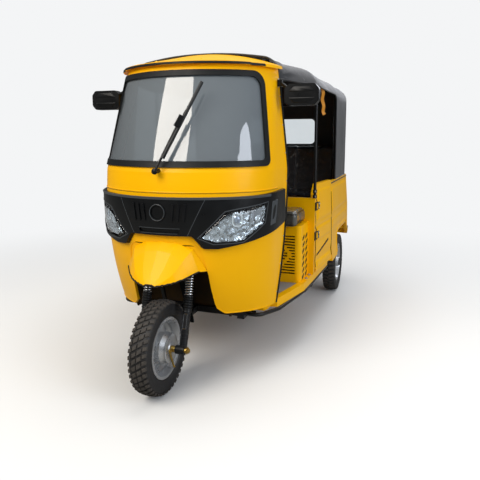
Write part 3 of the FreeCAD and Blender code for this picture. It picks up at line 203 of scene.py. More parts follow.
class Relief(Enum):
    """Kinds of fine relief on a surface."""

    SPECKLE = "speckle"
    PEBBLE = "pebble"
    WEAVE = "weave"
    RIBS = "ribs"


@dataclass(frozen=True)
class Finish:
    """Material and surface of a piece.

    The colour drifts toward the second one in soft patches, and the fine relief gives the
    highlight its grain.
    """

    name: str
    slot: str
    colour: str
    drift: str
    drift_mm: float = 160.0
    drift_share: float = 0.35
    metallic: float = 0.0
    roughness: float = 0.5
    rough_swing: float = 0.08
    ior: float = 1.5
    glint: float = 0.5
    relief: Relief = Relief.SPECKLE
    grain_mm: float = 2.0
    depth_mm: float = 0.03
    waves_mm: float = 0.0
    wave_depth_mm: float = 0.0
    coat: float = 0.0
    coat_roughness: float = 0.06
    sheen: float = 0.0
    clear: float = 0.0
    dust: str = ""
    dust_share: float = 0.0

    def material(self) -> bpy.types.Material:
        """The material, made once and then shared."""
        known = bpy.data.materials.get(self.name)
        if known:
            return known
        made = bpy.data.materials.new(self.name)
        made.use_nodes = True
        tree = made.node_tree
        tree.nodes.clear()
        out = add_node(tree, "ShaderNodeOutputMaterial", {}, {})
        where = add_node(tree, "ShaderNodeTexCoord", {}, {}).outputs["Object"]
        shader = add_node(tree, "ShaderNodeBsdfPrincipled", {}, {
            "Metallic": self.metallic, "IOR": self.ior, "Coat Weight": self.coat,
            "Coat Roughness": self.coat_roughness, "Sheen Weight": self.sheen,
            "Transmission Weight": self.clear, "Specular IOR Level": self.glint,
        })
        tree.links.new(shader.outputs[0], out.inputs["Surface"])
        patches = grainy(tree, where, 1000.0 / self.drift_mm, 5.0, 0.6)
        tree.links.new(self.coloured(tree, where, patches), shader.inputs["Base Color"])
        swing = (max(self.roughness - self.rough_swing, 0.01), min(self.roughness + self.rough_swing, 1.0))
        tree.links.new(ranged(tree, patches, (0.3, 0.7), swing), shader.inputs["Roughness"])
        tree.links.new(self.relieved(tree, where), shader.inputs["Normal"])
        return made

    def coloured(self, tree: Tree, where: Socket,
                 patches: Socket) -> Socket:
        """Colour that drifts in patches, under dust on faces that look up.

        Args:
            tree: Node tree of the material.
            where: Object coordinates, in metres.
            patches: Soft noise.

        Returns:
            The colour output.
        """
        amount = ranged(tree, patches, (0.35, 0.75), (0.0, self.drift_share))
        mixed = blended(tree, amount, linear(self.colour), linear(self.drift))
        if not self.dust:
            return mixed
        normal = add_node(tree, "ShaderNodeNewGeometry", {}, {}).outputs["Normal"]
        up = add_node(tree, "ShaderNodeSeparateXYZ", {}, {0: normal}).outputs[2]
        facing = ranged(tree, up, (0.2, 0.95), (0.12, 1.0))
        grit = grainy(tree, where, 1000.0 / DUST_GRIT_MM, 8.0, 0.7)
        lying = maths(tree, "MULTIPLY", maths(tree, "MULTIPLY", facing, grit), self.dust_share)
        return blended(tree, lying, mixed, linear(self.dust))

    def relieved(self, tree: Tree, where: Socket) -> Socket:
        """Normal with the finish's fine relief, over slow waves where it has them."""
        fine = self.pattern(tree, where)
        normal = add_node(tree, "ShaderNodeBump", {}, {
            "Strength": 1.0, "Distance": self.depth_mm * MM, "Height": fine,
        })
        if self.waves_mm:
            under = add_node(tree, "ShaderNodeBump", {}, {
                "Strength": 1.0, "Distance": self.wave_depth_mm * MM,
                "Height": grainy(tree, where, 1000.0 / self.waves_mm, 2.0),
            })
            tree.links.new(under.outputs[0], normal.inputs["Normal"])
        return normal.outputs[0]

    def pattern(self, tree: Tree, where: Socket) -> Socket:
        """Height of the fine relief, from 0 to 1."""
        scale = 1000.0 / self.grain_mm
        if self.relief is Relief.PEBBLE:
            return add_node(tree, "ShaderNodeTexVoronoi", {"feature": "SMOOTH_F1"}, {
                "Vector": where, "Scale": scale, "Smoothness": 0.35,
            }).outputs["Distance"]
        if self.relief in (Relief.WEAVE, Relief.RIBS):
            return self.threads(tree, where)
        return grainy(tree, where, scale, 3.0, 0.6)

    def threads(self, tree: Tree, where: Socket) -> Socket:
        """Crossed threads for a weave, or one set of ribs across the vehicle."""
        # A wave texture at scale 1 repeats every 2 pi / 20 of a metre
        scale = 1000.0 / self.grain_mm * math.pi / 10.0
        ways = ("X", "Y", "Z") if self.relief is Relief.WEAVE else ("Y",)
        waves = [
            add_node(tree, "ShaderNodeTexWave", {"bands_direction": way}, {
                "Vector": where, "Scale": scale, "Distortion": 0.2, "Detail": 1.0,
            }).outputs["Fac"] for way in ways
        ]
        height = waves[0]
        for wave in waves[1:]:
            height = maths(tree, "MAXIMUM", height, wave)
        return height


# Stoving enamel sprayed on pressed steel: deep colour, a clear sharp highlight and faint orange peel
YELLOW = Finish("golden_yellow_enamel", "yellow_paint", "#FFBD00", "#FAB000", drift_mm=420.0,
                roughness=0.36, rough_swing=0.05, grain_mm=3.0, depth_mm=0.006, coat=0.04, glint=0.13)
# The wheel well's yellow enamel drawn nearly black, with no gloss: painted shade, with a little dust on
# faces that look up
WELL_PAINTED_SHADE = Finish("wheel_well_painted_shade", "yellow_paint", "#2A2116", "#4A3510", drift_mm=110.0,
                   drift_share=0.8, roughness=0.85, grain_mm=3.0, depth_mm=0.3, glint=0.2,
                   dust="#7D7264", dust_share=0.18)
# The same enamel in black on rolled tube and bar: less care in the spraying, so it is duller
BLACK_ENAMEL = Finish("black_frame_enamel", "black_frame_paint", "#101113", "#1B1D20", roughness=0.34,
                      grain_mm=2.5, depth_mm=0.02, coat=0.1, glint=0.3, dust="#8A8274", dust_share=0.06)
# ABS moulded against a spark-eroded tool: satin black with an even fine grain
ABS = Finish("moulded_abs", "black_plastic", "#0B0D0F", "#131619", drift_mm=90.0, roughness=0.34,
             relief=Relief.PEBBLE, grain_mm=1.6, depth_mm=0.02, glint=0.22)
# Lighter grey on the moulding's bevel, joints, lips, ring and side panels: painted highlight on the black
# ABS
ABS_PAINTED_HIGHLIGHT = Finish("moulded_abs_painted_highlight", "black_plastic", "#3A3F43", "#4A4F53", drift_mm=70.0,
                  roughness=0.42, relief=Relief.PEBBLE, grain_mm=1.6, depth_mm=0.035)
# Extruded EPDM: dull, with a faint grey bloom
EPDM = Finish("extruded_epdm", "black_rubber", "#111314", "#1D1F20", drift_mm=60.0, roughness=0.52,
              grain_mm=1.5, depth_mm=0.02, glint=0.25)
# Tyre rubber: smooth black sidewall and groove floor
TYRE_RUBBER = Finish("tyre_rubber", "tyre", "#161618", "#242322", drift_mm=40.0, drift_share=0.5,
                     roughness=0.6, grain_mm=3.0, depth_mm=0.08, dust="#8C857A", dust_share=0.12)
# The same rubber on the tread blocks, scuffed and powdered brown-grey by the road
TREAD_RUBBER = Finish("scuffed_tread_rubber", "tyre", "#34312E", "#554F48", drift_mm=30.0,
                      drift_share=0.7, roughness=0.86, grain_mm=2.5, depth_mm=0.2)
# Aluminium paint over a pressed steel rim
SILVER_PAINT = Finish("aluminium_paint", "silver_rim", "#C2C4C6", "#A6A8AA", drift_mm=70.0, metallic=0.7,
                      roughness=0.3, grain_mm=1.2, depth_mm=0.02, coat=0.2)
# Toughened flat-drawn glass, grey and half clear: painted reflection of a pale sky, which shows against the
# dark cab
SCREEN_GLASS_PAINTED_REFLECTION = Finish("screen_glass_painted_reflection", "glass", "#7C858B", "#717A80", drift_mm=300.0, roughness=0.03,
                      rough_swing=0.01, ior=1.52, grain_mm=60.0, depth_mm=0.02, clear=0.4, coat=1.0,
                      coat_roughness=0.02)
# Injection-moulded polycarbonate: clear and hard, with a polished face
LENS = Finish("clear_polycarbonate", "lamp", "#F2F6F8", "#E8EEF2", roughness=0.02, rough_swing=0.005,
              ior=1.45, grain_mm=40.0, depth_mm=0.01, clear=1.0)
# Vacuum-metallised reflector
REFLECTOR = Finish("metallised_reflector", "lamp", "#E2E6E9", "#CBD0D4", metallic=1.0, roughness=0.14,
                   rough_swing=0.04, grain_mm=6.0, depth_mm=0.05)
# The same metal on the ribbed backing and ribs, with long ripples in its relief and a colour that swings
# between bright and dark: painted reflection
REFLECTOR_PAINTED_REFLECTION = Finish("reflector_backing_painted_reflection", "lamp", "#C4CACE", "#4A4F54", drift_mm=22.0,
                       drift_share=0.95, metallic=1.0, roughness=0.2, grain_mm=14.0, depth_mm=2.2,
                       waves_mm=34.0, wave_depth_mm=9.0)
# Smoked projector glass
PROJECTOR_GLASS = Finish("smoked_projector_glass", "lamp", "#8A97A6", "#77859A", roughness=0.05,
                         rough_swing=0.02, metallic=0.3, coat=1.0)
# Satin grey trim in the lamp
LAMP_TRIM = Finish("satin_lamp_trim", "lamp", "#8C9197", "#7A7F86", metallic=0.4, roughness=0.3)
RED_LENS = Finish("red_acrylic", "tail_lamp", "#B01218", "#8E0D12", roughness=0.08, rough_swing=0.03,
                  ior=1.49, grain_mm=8.0, depth_mm=0.2, relief=Relief.PEBBLE, coat=0.6)
AMBER_LENS = Finish("amber_acrylic", "tail_lamp", "#E2760E", "#C4610A", roughness=0.08, rough_swing=0.03,
                    ior=1.49, grain_mm=8.0, depth_mm=0.2, relief=Relief.PEBBLE, coat=0.6)
# Calendered clear PVC: soft, slightly blue and rippled
CLEAR_PVC = Finish("clear_pvc_sheet", "clear_sheet", "#E9EFF2", "#DDE6EA", roughness=0.08,
                   rough_swing=0.04, ior=1.1, clear=0.92, grain_mm=90.0, depth_mm=1.2)
# Expanded vinyl on knitted backing under a clear factory wrap: pebbled, with long glossy creases
SEAT_VINYL = Finish("wrapped_navy_vinyl", "seat_vinyl", "#14171F", "#222733", drift_mm=120.0,
                    roughness=0.42, relief=Relief.PEBBLE, grain_mm=2.2, depth_mm=0.12, waves_mm=55.0,
                    wave_depth_mm=5.0, coat=0.9, coat_roughness=0.08)
GREY_VINYL = Finish("wrapped_grey_vinyl", "seat_vinyl", "#454743", "#6A675F", drift_mm=90.0,
                    roughness=0.4, relief=Relief.PEBBLE, grain_mm=2.2, depth_mm=0.12, waves_mm=38.0,
                    wave_depth_mm=6.0, coat=0.9, coat_roughness=0.08)
PIPING = Finish("black_vinyl_piping", "seat_vinyl", "#0C0D10", "#16181C", roughness=0.35, grain_mm=2.0,
                depth_mm=0.05)
# Woven polyester coated with PVC: 1 mm threads, drawn at 3 mm so that they show, and slow slack waves
CANVAS = Finish("coated_canvas", "canvas", "#1C1E22", "#2B2E33", drift_mm=220.0, drift_share=0.6,
                roughness=0.55, relief=Relief.WEAVE, grain_mm=3.0, depth_mm=0.10, waves_mm=200.0,
                wave_depth_mm=5.0, sheen=0.15, dust="#9A948A", dust_share=0.10)
# Moulded rubber matting with ribs across the floor
MATTING = Finish("ribbed_matting", "floor_mat", "#85868A", "#A0A09E", drift_mm=80.0, roughness=0.62,
                 relief=Relief.RIBS, grain_mm=12.0, depth_mm=1.2, dust="#A79F90", dust_share=0.2)
# Sand-cast aluminium
CAST = Finish("cast_aluminium", "cast_grey", "#8E9192", "#74777A", metallic=0.85, roughness=0.5,
              grain_mm=1.5, depth_mm=0.15, dust="#6F675B", dust_share=0.3)
CHROME = Finish("chrome_plate", "chrome", "#D6D8DA", "#C6C9CC", metallic=1.0, roughness=0.09,
                rough_swing=0.04, grain_mm=5.0, depth_mm=0.01)
# Bright zinc plate, passivated: a faint warm and blue drift
ZINC = Finish("bright_zinc", "zinc", "#C2C3BF", "#B3B5BC", drift_mm=8.0, metallic=0.9, roughness=0.3,
              grain_mm=1.5, depth_mm=0.02)
BRASS = Finish("yellow_passivate", "zinc", "#B99A4E", "#9C8350", drift_mm=10.0, metallic=0.9,
               roughness=0.32, grain_mm=1.5, depth_mm=0.03)
STEEL_PIPE = Finish("heat_stained_steel", "steel_pipe", "#6D655D", "#4E4844", drift_mm=60.0,
                    drift_share=0.8, metallic=0.8, roughness=0.5, grain_mm=2.0, depth_mm=0.08)
MIRROR_GLASS = Finish("silvered_glass", "glass", "#E4E8EA", "#DCE1E4", metallic=1.0, roughness=0.02,
                      rough_swing=0.005, grain_mm=50.0, depth_mm=0.01)
RIBBON = Finish("yellow_ribbon", "canvas", "#E8981C", "#D98410", drift_mm=20.0, roughness=0.55,
                relief=Relief.WEAVE, grain_mm=1.5, depth_mm=0.08, sheen=0.2)
BLANK_PLATE = Finish("blank_white_plate", "zinc", "#DADCDC", "#CFD1D1", roughness=0.3, coat=0.3)
DIAL_FACE = Finish("printed_dial", "black_plastic", "#E4E6E6", "#D8DADA", roughness=0.35)

CAD_FINISHES = {
    YELLOW: ("floor_pan", "front_cowl", "roof_visor", "beak", "seat_base", "bulkhead",
             "passenger_seat_base", "rear_body", "door_left", "door_right"),
    WELL_PAINTED_SHADE: ("wheel_well",),
    BLACK_ENAMEL: ("chassis_frame", "wiper", "door_hinges", "canopy_frame", "rear_bumper", "rear_axle",
                   "rear_suspension", "steering_stem", "fork_legs"),
    ABS: ("fascia", "dashboard", "mirrors", "mud_flap"),
    EPDM: ("windshield_gasket", "handlebar"),
    TYRE_RUBBER: ("front_tyre", "rear_tyre_left", "rear_tyre_right"),
    SILVER_PAINT: ("front_rim", "rear_rim_left", "rear_rim_right"),
    SCREEN_GLASS_PAINTED_REFLECTION: ("windshield",),
    LENS: ("headlamps",),
    RED_LENS: ("tail_lamps",),
    CLEAR_PVC: ("rear_window",),
    SEAT_VINYL: ("driver_cushion", "passenger_cushion", "passenger_backrest"),
    CANVAS: ("canopy",),
    MATTING: ("floor_mat",),
    CAST: ("engine_block",),
    CHROME: ("fork_springs",),
    BRASS: ("front_axle",),
    STEEL_PIPE: ("exhaust",),
}


def dress_cad() -> None:
    """Give every CAD node its finish."""
    for finish, names in CAD_FINISHES.items():
        for name in names:
            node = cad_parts[name]
            node.data.materials.clear()
            node.data.materials.append(finish.material())
            log.info("dressed %s in %s", name, finish.name)


# Meshes


Ring = Sequence[Vector]


class Form:
    """A mesh in the making, in the row frame and in metres."""

    def __init__(self) -> None:
        """Start with no points."""
        self.points: list[Vector] = []
        self.faces: list[tuple[int, ...]] = []

    def skin(self, rows: Sequence[Ring], around: bool = True, looped: bool = False,
             capped: bool = True) -> None:
        """Skin through rows of equally many points.

        Args:
            rows: Rows of points, in order.
            around: True if each row is a closed ring.
            looped: True if the last row joins the first.
            capped: True to close the first and last ring.
        """
        base, wide, count = len(self.points), len(rows[0]), len(rows)
        for row in rows:
            self.points += [Vector(p) for p in row]
        for i in range(count if looped else count - 1):
            a, b = base + i * wide, base + (i + 1) % count * wide
            for k in range(wide if around else wide - 1):
                n = (k + 1) % wide
                self.faces.append((a + k, a + n, b + n, b + k))
        if capped and around and not looped:
            self.faces.append(tuple(range(base + wide - 1, base - 1, -1)))
            self.faces.append(tuple(range(base + (count - 1) * wide, base + count * wide)))

    def turned(self, profile: Points, place: Matrix, segments: int = 32,
               looped: bool = False) -> None:
        """Turned shape about the local Z axis.

        Args:
            profile: Points (radius, height) in millimetres.
            place: Local frame.
            segments: Steps around.
            looped: True if the profile is a closed section.
        """
        rows = [[local(place, x, y, height) for x, y in circle(radius, segments)]
                for radius, height in profile]
        self.skin(rows, looped=looped, capped=not looped)

    def prism(self, outline: Points, low: float, high: float, place: Matrix) -> None:
        """Straight prism along the local Z axis, from an outline in millimetres."""
        self.skin([[local(place, a, b, h) for a, b in outline] for h in (low, high)])

    def box(self, size: tuple[float, float, float], place: Matrix) -> None:
        """Box centred on the local origin, sizes in millimetres."""
        a, b, c = (v / 2 for v in size)
        self.prism([(-a, -b), (a, -b), (a, b), (-a, b)], -c, c, place)

    def swept(self, route: Sequence[Vector], section: Points, outs: Sequence[Vector],
              looped: bool = False) -> None:
        """Section carried along a route.

        Args:
            route: Points in metres.
            section: Points (across, out) in millimetres.
            outs: Outward direction at each point of the route.
            looped: True if the route closes on itself.
        """
        rows = []
        count = len(route)
        for i, here in enumerate(route):
            before = route[i - 1] if i or looped else here
            after = route[(i + 1) % count] if i + 1 < count or looped else here
            along = (after - before).normalized()
            across = along.cross(outs[i]).normalized()
            out = across.cross(along)
            rows.append([here + (across * a + out * b) * MM for a, b in section])
        self.skin(rows, looped=looped)

    def tube(self, route: Sequence[Vector], radius: float, sides: int = 12, looped: bool = False) -> None:
        """Round bar of one radius, in millimetres, along a route in metres."""
        out = Vector((0.31, 0.42, 0.85))
        outs = []
        for i in range(len(route)):
            along = (route[min(i + 1, len(route) - 1)] - route[max(i - 1, 0)]).normalized()
            out = out - along * out.dot(along)
            if out.length < 1e-3:
                out = along.orthogonal()
            out.normalize()
            outs.append(out.copy())
        self.swept(route, circle(radius, sides), outs, looped)

    def piece(self, name: str, finish: Finish, body: str = "root", smooth: float = 40.0, bevel: float = 0.0,
              rounds: int = 0, steps: int = 2) -> bpy.types.Object:
        """Finish the mesh as a piece that rides on a body.

        Args:
            name: Name of the piece.
            finish: Its finish.
            body: CAD body that carries it.
            smooth: Edges under this angle, in degrees, are shaded smooth.
            bevel: Edge rounding in millimetres.
            rounds: Levels of subdivision.
            steps: Segments of the edge rounding.

        Returns:
            The new object.
        """
        mesh = bpy.data.meshes.new(name)
        mesh.from_pydata([tuple(p) for p in self.points], [], self.faces)
        mesh.validate()
        shell = bmesh.new()
        shell.from_mesh(mesh)
        bmesh.ops.recalc_face_normals(shell, faces=shell.faces)
        shell.to_mesh(mesh)
        shell.free()
        made = placed(name, mesh)
        soften(made, smooth)
        if bevel:
            edge = made.modifiers.new("edge", "BEVEL")
            edge.width, edge.segments, edge.limit_method = bevel * MM, steps, "ANGLE"
            edge.angle_limit = math.radians(35.0)
        if rounds:
            sub = made.modifiers.new("rounds", "SUBSURF")
            sub.levels = sub.render_levels = rounds
        return carried(made, finish, body)


def placed(name: str, data: bpy.types.ID | None) -> bpy.types.Object:
    """New object of the scene."""
    made = bpy.data.objects.new(name, data)
    bpy.context.scene.collection.objects.link(made)
    return made


def welded(node: str, gap: float = 2e-5) -> bmesh.types.BMesh:
    """Editable copy of a CAD node's mesh, with points nearer than the gap, in metres, joined."""
    shell = bmesh.new()
    shell.from_mesh(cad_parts[node].data)
    bmesh.ops.remove_doubles(shell, verts=shell.verts, dist=gap)
    return shell


def settled(shell: bmesh.types.BMesh, name: str) -> bpy.types.Mesh:
    """Mesh of an edited copy, which is given up."""
    mesh = bpy.data.meshes.new(name)
    shell.to_mesh(mesh)
    shell.free()
    return mesh


def tree_of(mesh: bpy.types.Mesh) -> BVHTree:
    """A mesh's faces, for rays to meet."""
    faces = [tuple(p.vertices) for p in mesh.polygons]
    return BVHTree.FromPolygons([v.co.copy() for v in mesh.vertices], faces)


def soften(made: bpy.types.Object, angle: float) -> None:
    """Shade an object smooth, with edges over the angle, in degrees, kept sharp."""
    made.data.shade_smooth()
    made.data.set_sharp_from_angle(angle=math.radians(angle))


def carried(made: bpy.types.Object, finish: Finish, body: str = "root") -> bpy.types.Object:
    """Give a piece its finish and its body, and report it."""
    made.data.materials.clear()
    made.data.materials.append(finish.material())
    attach(made, body)
    log.info("piece %s on %s: %s", made.name, body, finish.name)
    return made


def circle(radius: float, sides: int) -> list[tuple[float, float]]:
    """Points of a circle, in the radius's unit."""
    steps = (2 * math.pi * k / sides for k in range(sides))
    return [(radius * math.cos(a), radius * math.sin(a)) for a in steps]


def rounded(width: float, height: float, radius: float, steps: int = 4) -> list[tuple[float, float]]:
    """Rounded rectangle about the origin, counter-clockwise."""
    points = []
    for sx, sy, start in ((1, 1, 0), (-1, 1, 90), (-1, -1, 180), (1, -1, 270)):
        cx, cy = sx * (width / 2 - radius), sy * (height / 2 - radius)
        for k in range(steps + 1):
            a = math.radians(start + 90.0 * k / steps)
            points.append((cx + radius * math.cos(a), cy + radius * math.sin(a)))
    return points


def strip(foot: float, top: float, rise: float) -> list[tuple[float, float]]:
    """Section of a low trim that is sunk 1 mm: half its width at foot and top, and its rise."""
    return [(-foot, -1), (foot, -1), (top, rise), (-top, rise)]


def curve_through(corners: Sequence[Vector], steps: int = 8) -> list[Vector]:
    """Smooth line through points, as a Catmull-Rom curve."""
    points = []
    for i in range(len(corners) - 1):
        a, b = corners[i], corners[i + 1]
        before = corners[i - 1] if i else a * 2 - b
        after = corners[i + 2] if i + 2 < len(corners) else b * 2 - a
        for k in range(steps):
            t = k / steps
            points.append(0.5 * (2 * a + (b - before) * t + (2 * before - 5 * a + 4 * b - after) * t * t
                                 + (3 * a - before - 3 * b + after) * t ** 3))
    points.append(corners[-1].copy())
    return points


class Fastener(Enum):
    """Heads of small fasteners."""

    HEX = "hex"
    RIVET = "rivet"
    CAP = "cap"


def add_fastener(form: Form, kind: Fastener, point: Vector, out: Vector, radius: float) -> None:
    """Add a bolt or rivet head that sits on a surface.

    Args:
        form: Mesh to add to.
        kind: Shape of the head.
        point: Its place on the surface.
        out: Direction out of the surface.
        radius: Radius of the head, in millimetres.
    """
    place = at_place(point, Vector((0.3, 0.2, 1.0)) if abs(out.z) < 0.9 else LEFT, out)
    if kind is Fastener.HEX:
        form.turned([(radius * 1.35, -0.3), (radius * 1.35, 0.9)], place, 20)
        form.turned([(radius, 0.8), (radius, radius * 0.66), (radius * 0.86, radius * 0.8)], place, 6)
        form.turned([(radius * 0.45, radius * 0.7), (radius * 0.45, radius * 1.05)], place, 12)
    elif kind is Fastener.RIVET:
        form.turned([(radius, -0.3), (radius * 0.94, radius * 0.22), (radius * 0.7, radius * 0.45),
                     (radius * 0.3, radius * 0.58)], place, 14)
    else:
        form.turned([(radius, -0.3), (radius, radius * 0.7), (radius * 0.82, radius * 0.95),
                     (radius * 0.5, radius), (radius * 0.48, radius * 0.4)], place, 16)


class Skin:
    """Surface of a CAD node, for setting pieces on it."""

    def __init__(self, node: str) -> None:
        """Read the node's mesh."""
        self.tree = tree_of(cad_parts[node].data)

    def meet(self, start: Vector, toward: Vector) -> Hit | None:
        """First point and outward normal met by a ray, or None."""
        point, normal, _, _ = self.tree.ray_cast(start, toward.normalized())
        if point is None:
            return None
        return point, normal if normal.dot(toward) < 0 else -normal

    def line(self, starts: Iterable[Vector], toward: Vector) -> list[Hit]:
        """Points and outward normals met by rays that run the same way, in order."""
        return [met for met in (self.meet(start, toward) for start in starts) if met]

    def first(self, starts: Iterable[Vector], toward: Vector) -> Hit | None:
        """What the first of these rays to meet the skin meets, which finds the edge of a sheet."""
        return next((met for met in (self.meet(start, toward) for start in starts) if met), None)


# Surfaces that details follow


def round_nose(skin: Skin, z: float, first: float, last: float, count: int,
               centre_y: float = NOSE_CENTRE_Y) -> list[Hit]:
    """Points and normals round the nose at one height.

    Args:
        skin: Surface to follow.
        z: Height in millimetres.
        first: Angle of the first point from straight ahead, in degrees.
        last: Angle of the last point.
        count: Number of points.
        centre_y: Station of the centre that the rays aim at.

    Returns:
        The points met, in order.
    """
    found = []
    for k in range(count):
        a = math.radians(first + (last - first) * k / (count - 1))
        way = Vector((math.sin(a), -math.cos(a), 0.0))
        met = skin.meet(spot(0, centre_y, z) + way * 1.6, -way)
        if met:
            found.append(met)
    return found


def follow(form: Form, line: Sequence[Hit], section: Points,
           looped: bool = False) -> None:
    """Carry a section, drawn as (across, out) in millimetres, along points and normals of a surface."""
    form.swept([point for point, _ in line], section, [normal for _, normal in line], looped)


def between(corners: Sequence[float], u: float, t: float) -> float:
    """Value in a patch, from those at low front, low rear, top rear and top front."""
    low_front, low_rear, top_rear, top_front = corners
    return (low_front * (1 - u) + low_rear * u) * (1 - t) + (top_front * (1 - u) + top_rear * u) * t


def pressing(form: Form, skin: Skin, corners: Points, toward: Vector, rise: float,
             chamfer: float, cells: int = 20) -> None:
    """Raised panel pressed out of a side of the body, with a sloping border.

    Args:
        form: Mesh to add to.
        skin: Surface that the panel lies on.
        corners: Four corners as (station, height): low front, low rear, top rear, top front.
        toward: Direction of sight, along X.
        rise: Height of the panel above the surface, in millimetres.
        chamfer: Width of the border.
        cells: Steps each way.
    """
    side = -math.copysign(1.0, toward.x)
    found = [skin.meet(spot(side * BESIDE, y, z), toward) for y, z in corners]
    flat = [met[0].x if met else side * BODY_HALF * MM for met in found]
    wide, tall = corners[1][0] - corners[0][0], corners[3][1] - corners[0][1]
    rows = []
    for i in range(cells + 1):
        t = border_step(i, cells)
        row = []
        for j in range(cells + 1):
            u = border_step(j, cells)
            y, z = between([c[0] for c in corners], u, t), between([c[1] for c in corners], u, t)
            edge = min(u * wide, (1 - u) * wide, t * tall, (1 - t) * tall)
            lift = -0.6 + (rise + 0.6) * min(edge / chamfer, 1.0)
            met = skin.meet(spot(side * BESIDE, y, z), toward)
            x = between(flat, u, t)
            if met and abs(met[0].x - x) > (rise - 1.0) * MM:
                x = met[0].x
            row.append(Vector((x + side * lift * MM, spot(0, y, 0).y, z * MM)))
        rows.append(row)
    form.skin(rows, around=False, capped=False)


def border_step(index: int, cells: int) -> float:
    """Share from 0 to 1 that takes short steps next to both borders."""
    return 0.5 - 0.5 * math.cos(math.pi * index / cells)


# Wheels


# Rows of tread blocks: inner and outer side, phase, half slant and length
RIBBED_ROWS = ((3.0, 47.0, 0.0, -3.0, 17.0), (-47.0, -3.0, 0.5, 3.0, 17.0))
BLOCK_ROWS = ((3.0, 24.0, 0.0, -7.0, 19.0), (-24.0, -3.0, 0.5, -7.0, 19.0), (30.0, 47.0, 0.5, -4.0, 17.0),
              (-47.0, -30.0, 0.0, -4.0, 17.0))


@dataclass
class Wheel:
    """Treaded tyre, and the small parts on its rim."""

    name: str
    body: str
    tyre_node: str
    x: float
    y: float
    out: int
    ribbed: bool
    radius: float = TYRE_R
    pitches: int = 44
    groove: float = 10.0
    crown_drop: float = 9.0
    carcass: tuple[tuple[float, float], ...] = (
        (35, 147), (36.6, 152), (37.2, 158), (43, 161), (47.5, 168), (50, 179), (51, 190), (51.4, 196),
        (50.6, 198), (50.2, 206), (48.6, 214), (45.5, 222), (40, 226.5), (30, 229.2), (15, 230.6), (0, 231),
    )

    def place(self) -> Matrix:
        """Frame on the hub, with Z out of the wheel's outer face."""
        return at_place(spot(self.x, self.y, self.radius), BACK, LEFT * self.out)

    def crown(self, x: float) -> float:
        """Radius of the tread's face at a distance from its middle."""
        return self.radius - 0.2 - self.crown_drop * (abs(x) / 50.0) ** 2.2

    def row(self, form: Form, low: float, high: float, phase: float, skew: float, length: float) -> None:
        """Add one row of tread blocks.

        Args:
            form: Mesh to add to.
            low: Inner side of the blocks, across the tyre, in millimetres.
            high: Outer side.
            phase: Share of a pitch that the row is turned by.
            skew: Half the slant of a block's ends.
            length: Length of a block round the tyre.
        """
        place = self.place()
        for k in range(self.pitches):
            middle = (k + phase) * 2 * math.pi / self.pitches
            rings = []
            for grow, drop in ((1.8, self.groove), (0.3, 1.2), (-0.9, 0.0)):
                ring = []
                for sx, sa in ((-1, -1), (1, -1), (1, 1), (-1, 1)):
                    x = (low + high) / 2 + sx * ((high - low) / 2 + grow)
                    r = self.crown(x) - drop
                    a = middle + (sa * (length / 2 + grow) + skew * sx) / self.radius
                    ring.append(local(place, r * math.cos(a), r * math.sin(a), x))
                rings.append(ring)
            form.skin(rings)

    def tyre(self) -> None:
        """Carcass with its sidewall rings, and the tread blocks on it."""
        form = Form()
        right = list(self.carcass)
        profile = [(r, x) for x, r in right] + [(r, -x) for x, r in reversed(right[:-1])]
        form.turned(profile, self.place(), 96, looped=True)
        carcass = form.piece(f"{self.name}_carcass", TYRE_RUBBER, self.body, smooth=50)
        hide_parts(self.tyre_node)
        form = Form()
        for row in RIBBED_ROWS if self.ribbed else BLOCK_ROWS:
            self.row(form, *row)
        form.piece(f"{self.name}_tread", TREAD_RUBBER, self.body, smooth=25)

    def rim_parts(self) -> None:
        """Nuts or pressed bumps on the disc, valve stem, and the hub cap of a rear wheel."""
        form, place = Form(), self.place()
        kind, size, ring, height, count = Fastener.RIVET, 6.5, 101.0, -6.8, 12
        if self.ribbed:
            kind, size, ring, height, count = Fastener.HEX, 8.5, 99.0, 16.6, 5
            cap = Form()
            cap.turned([(33, 50), (33.5, 53), (30, 58), (20, 61), (8, 62), (1, 62)], place, 28)
            cap.piece(f"{self.name}_hub_cap", BLACK_ENAMEL, self.body)
        for x, y in circle(ring, count):
            add_fastener(form, kind, local(place, x, y, height), LEFT * self.out, size)
        form.piece(f"{self.name}_disc_nuts", ZINC, self.body)
        stem = Form()
        foot = local(place, 119, 0, 12)
        tip = local(place, 113, 0, 34)
        stem.tube([foot, (foot + tip) / 2, tip], 3.2, 10)
        stem.piece(f"{self.name}_valve", EPDM, self.body)

    def build(self) -> None:
        """Make the tyre and the rim's parts."""
        self.tyre()
        self.rim_parts()


# Fork


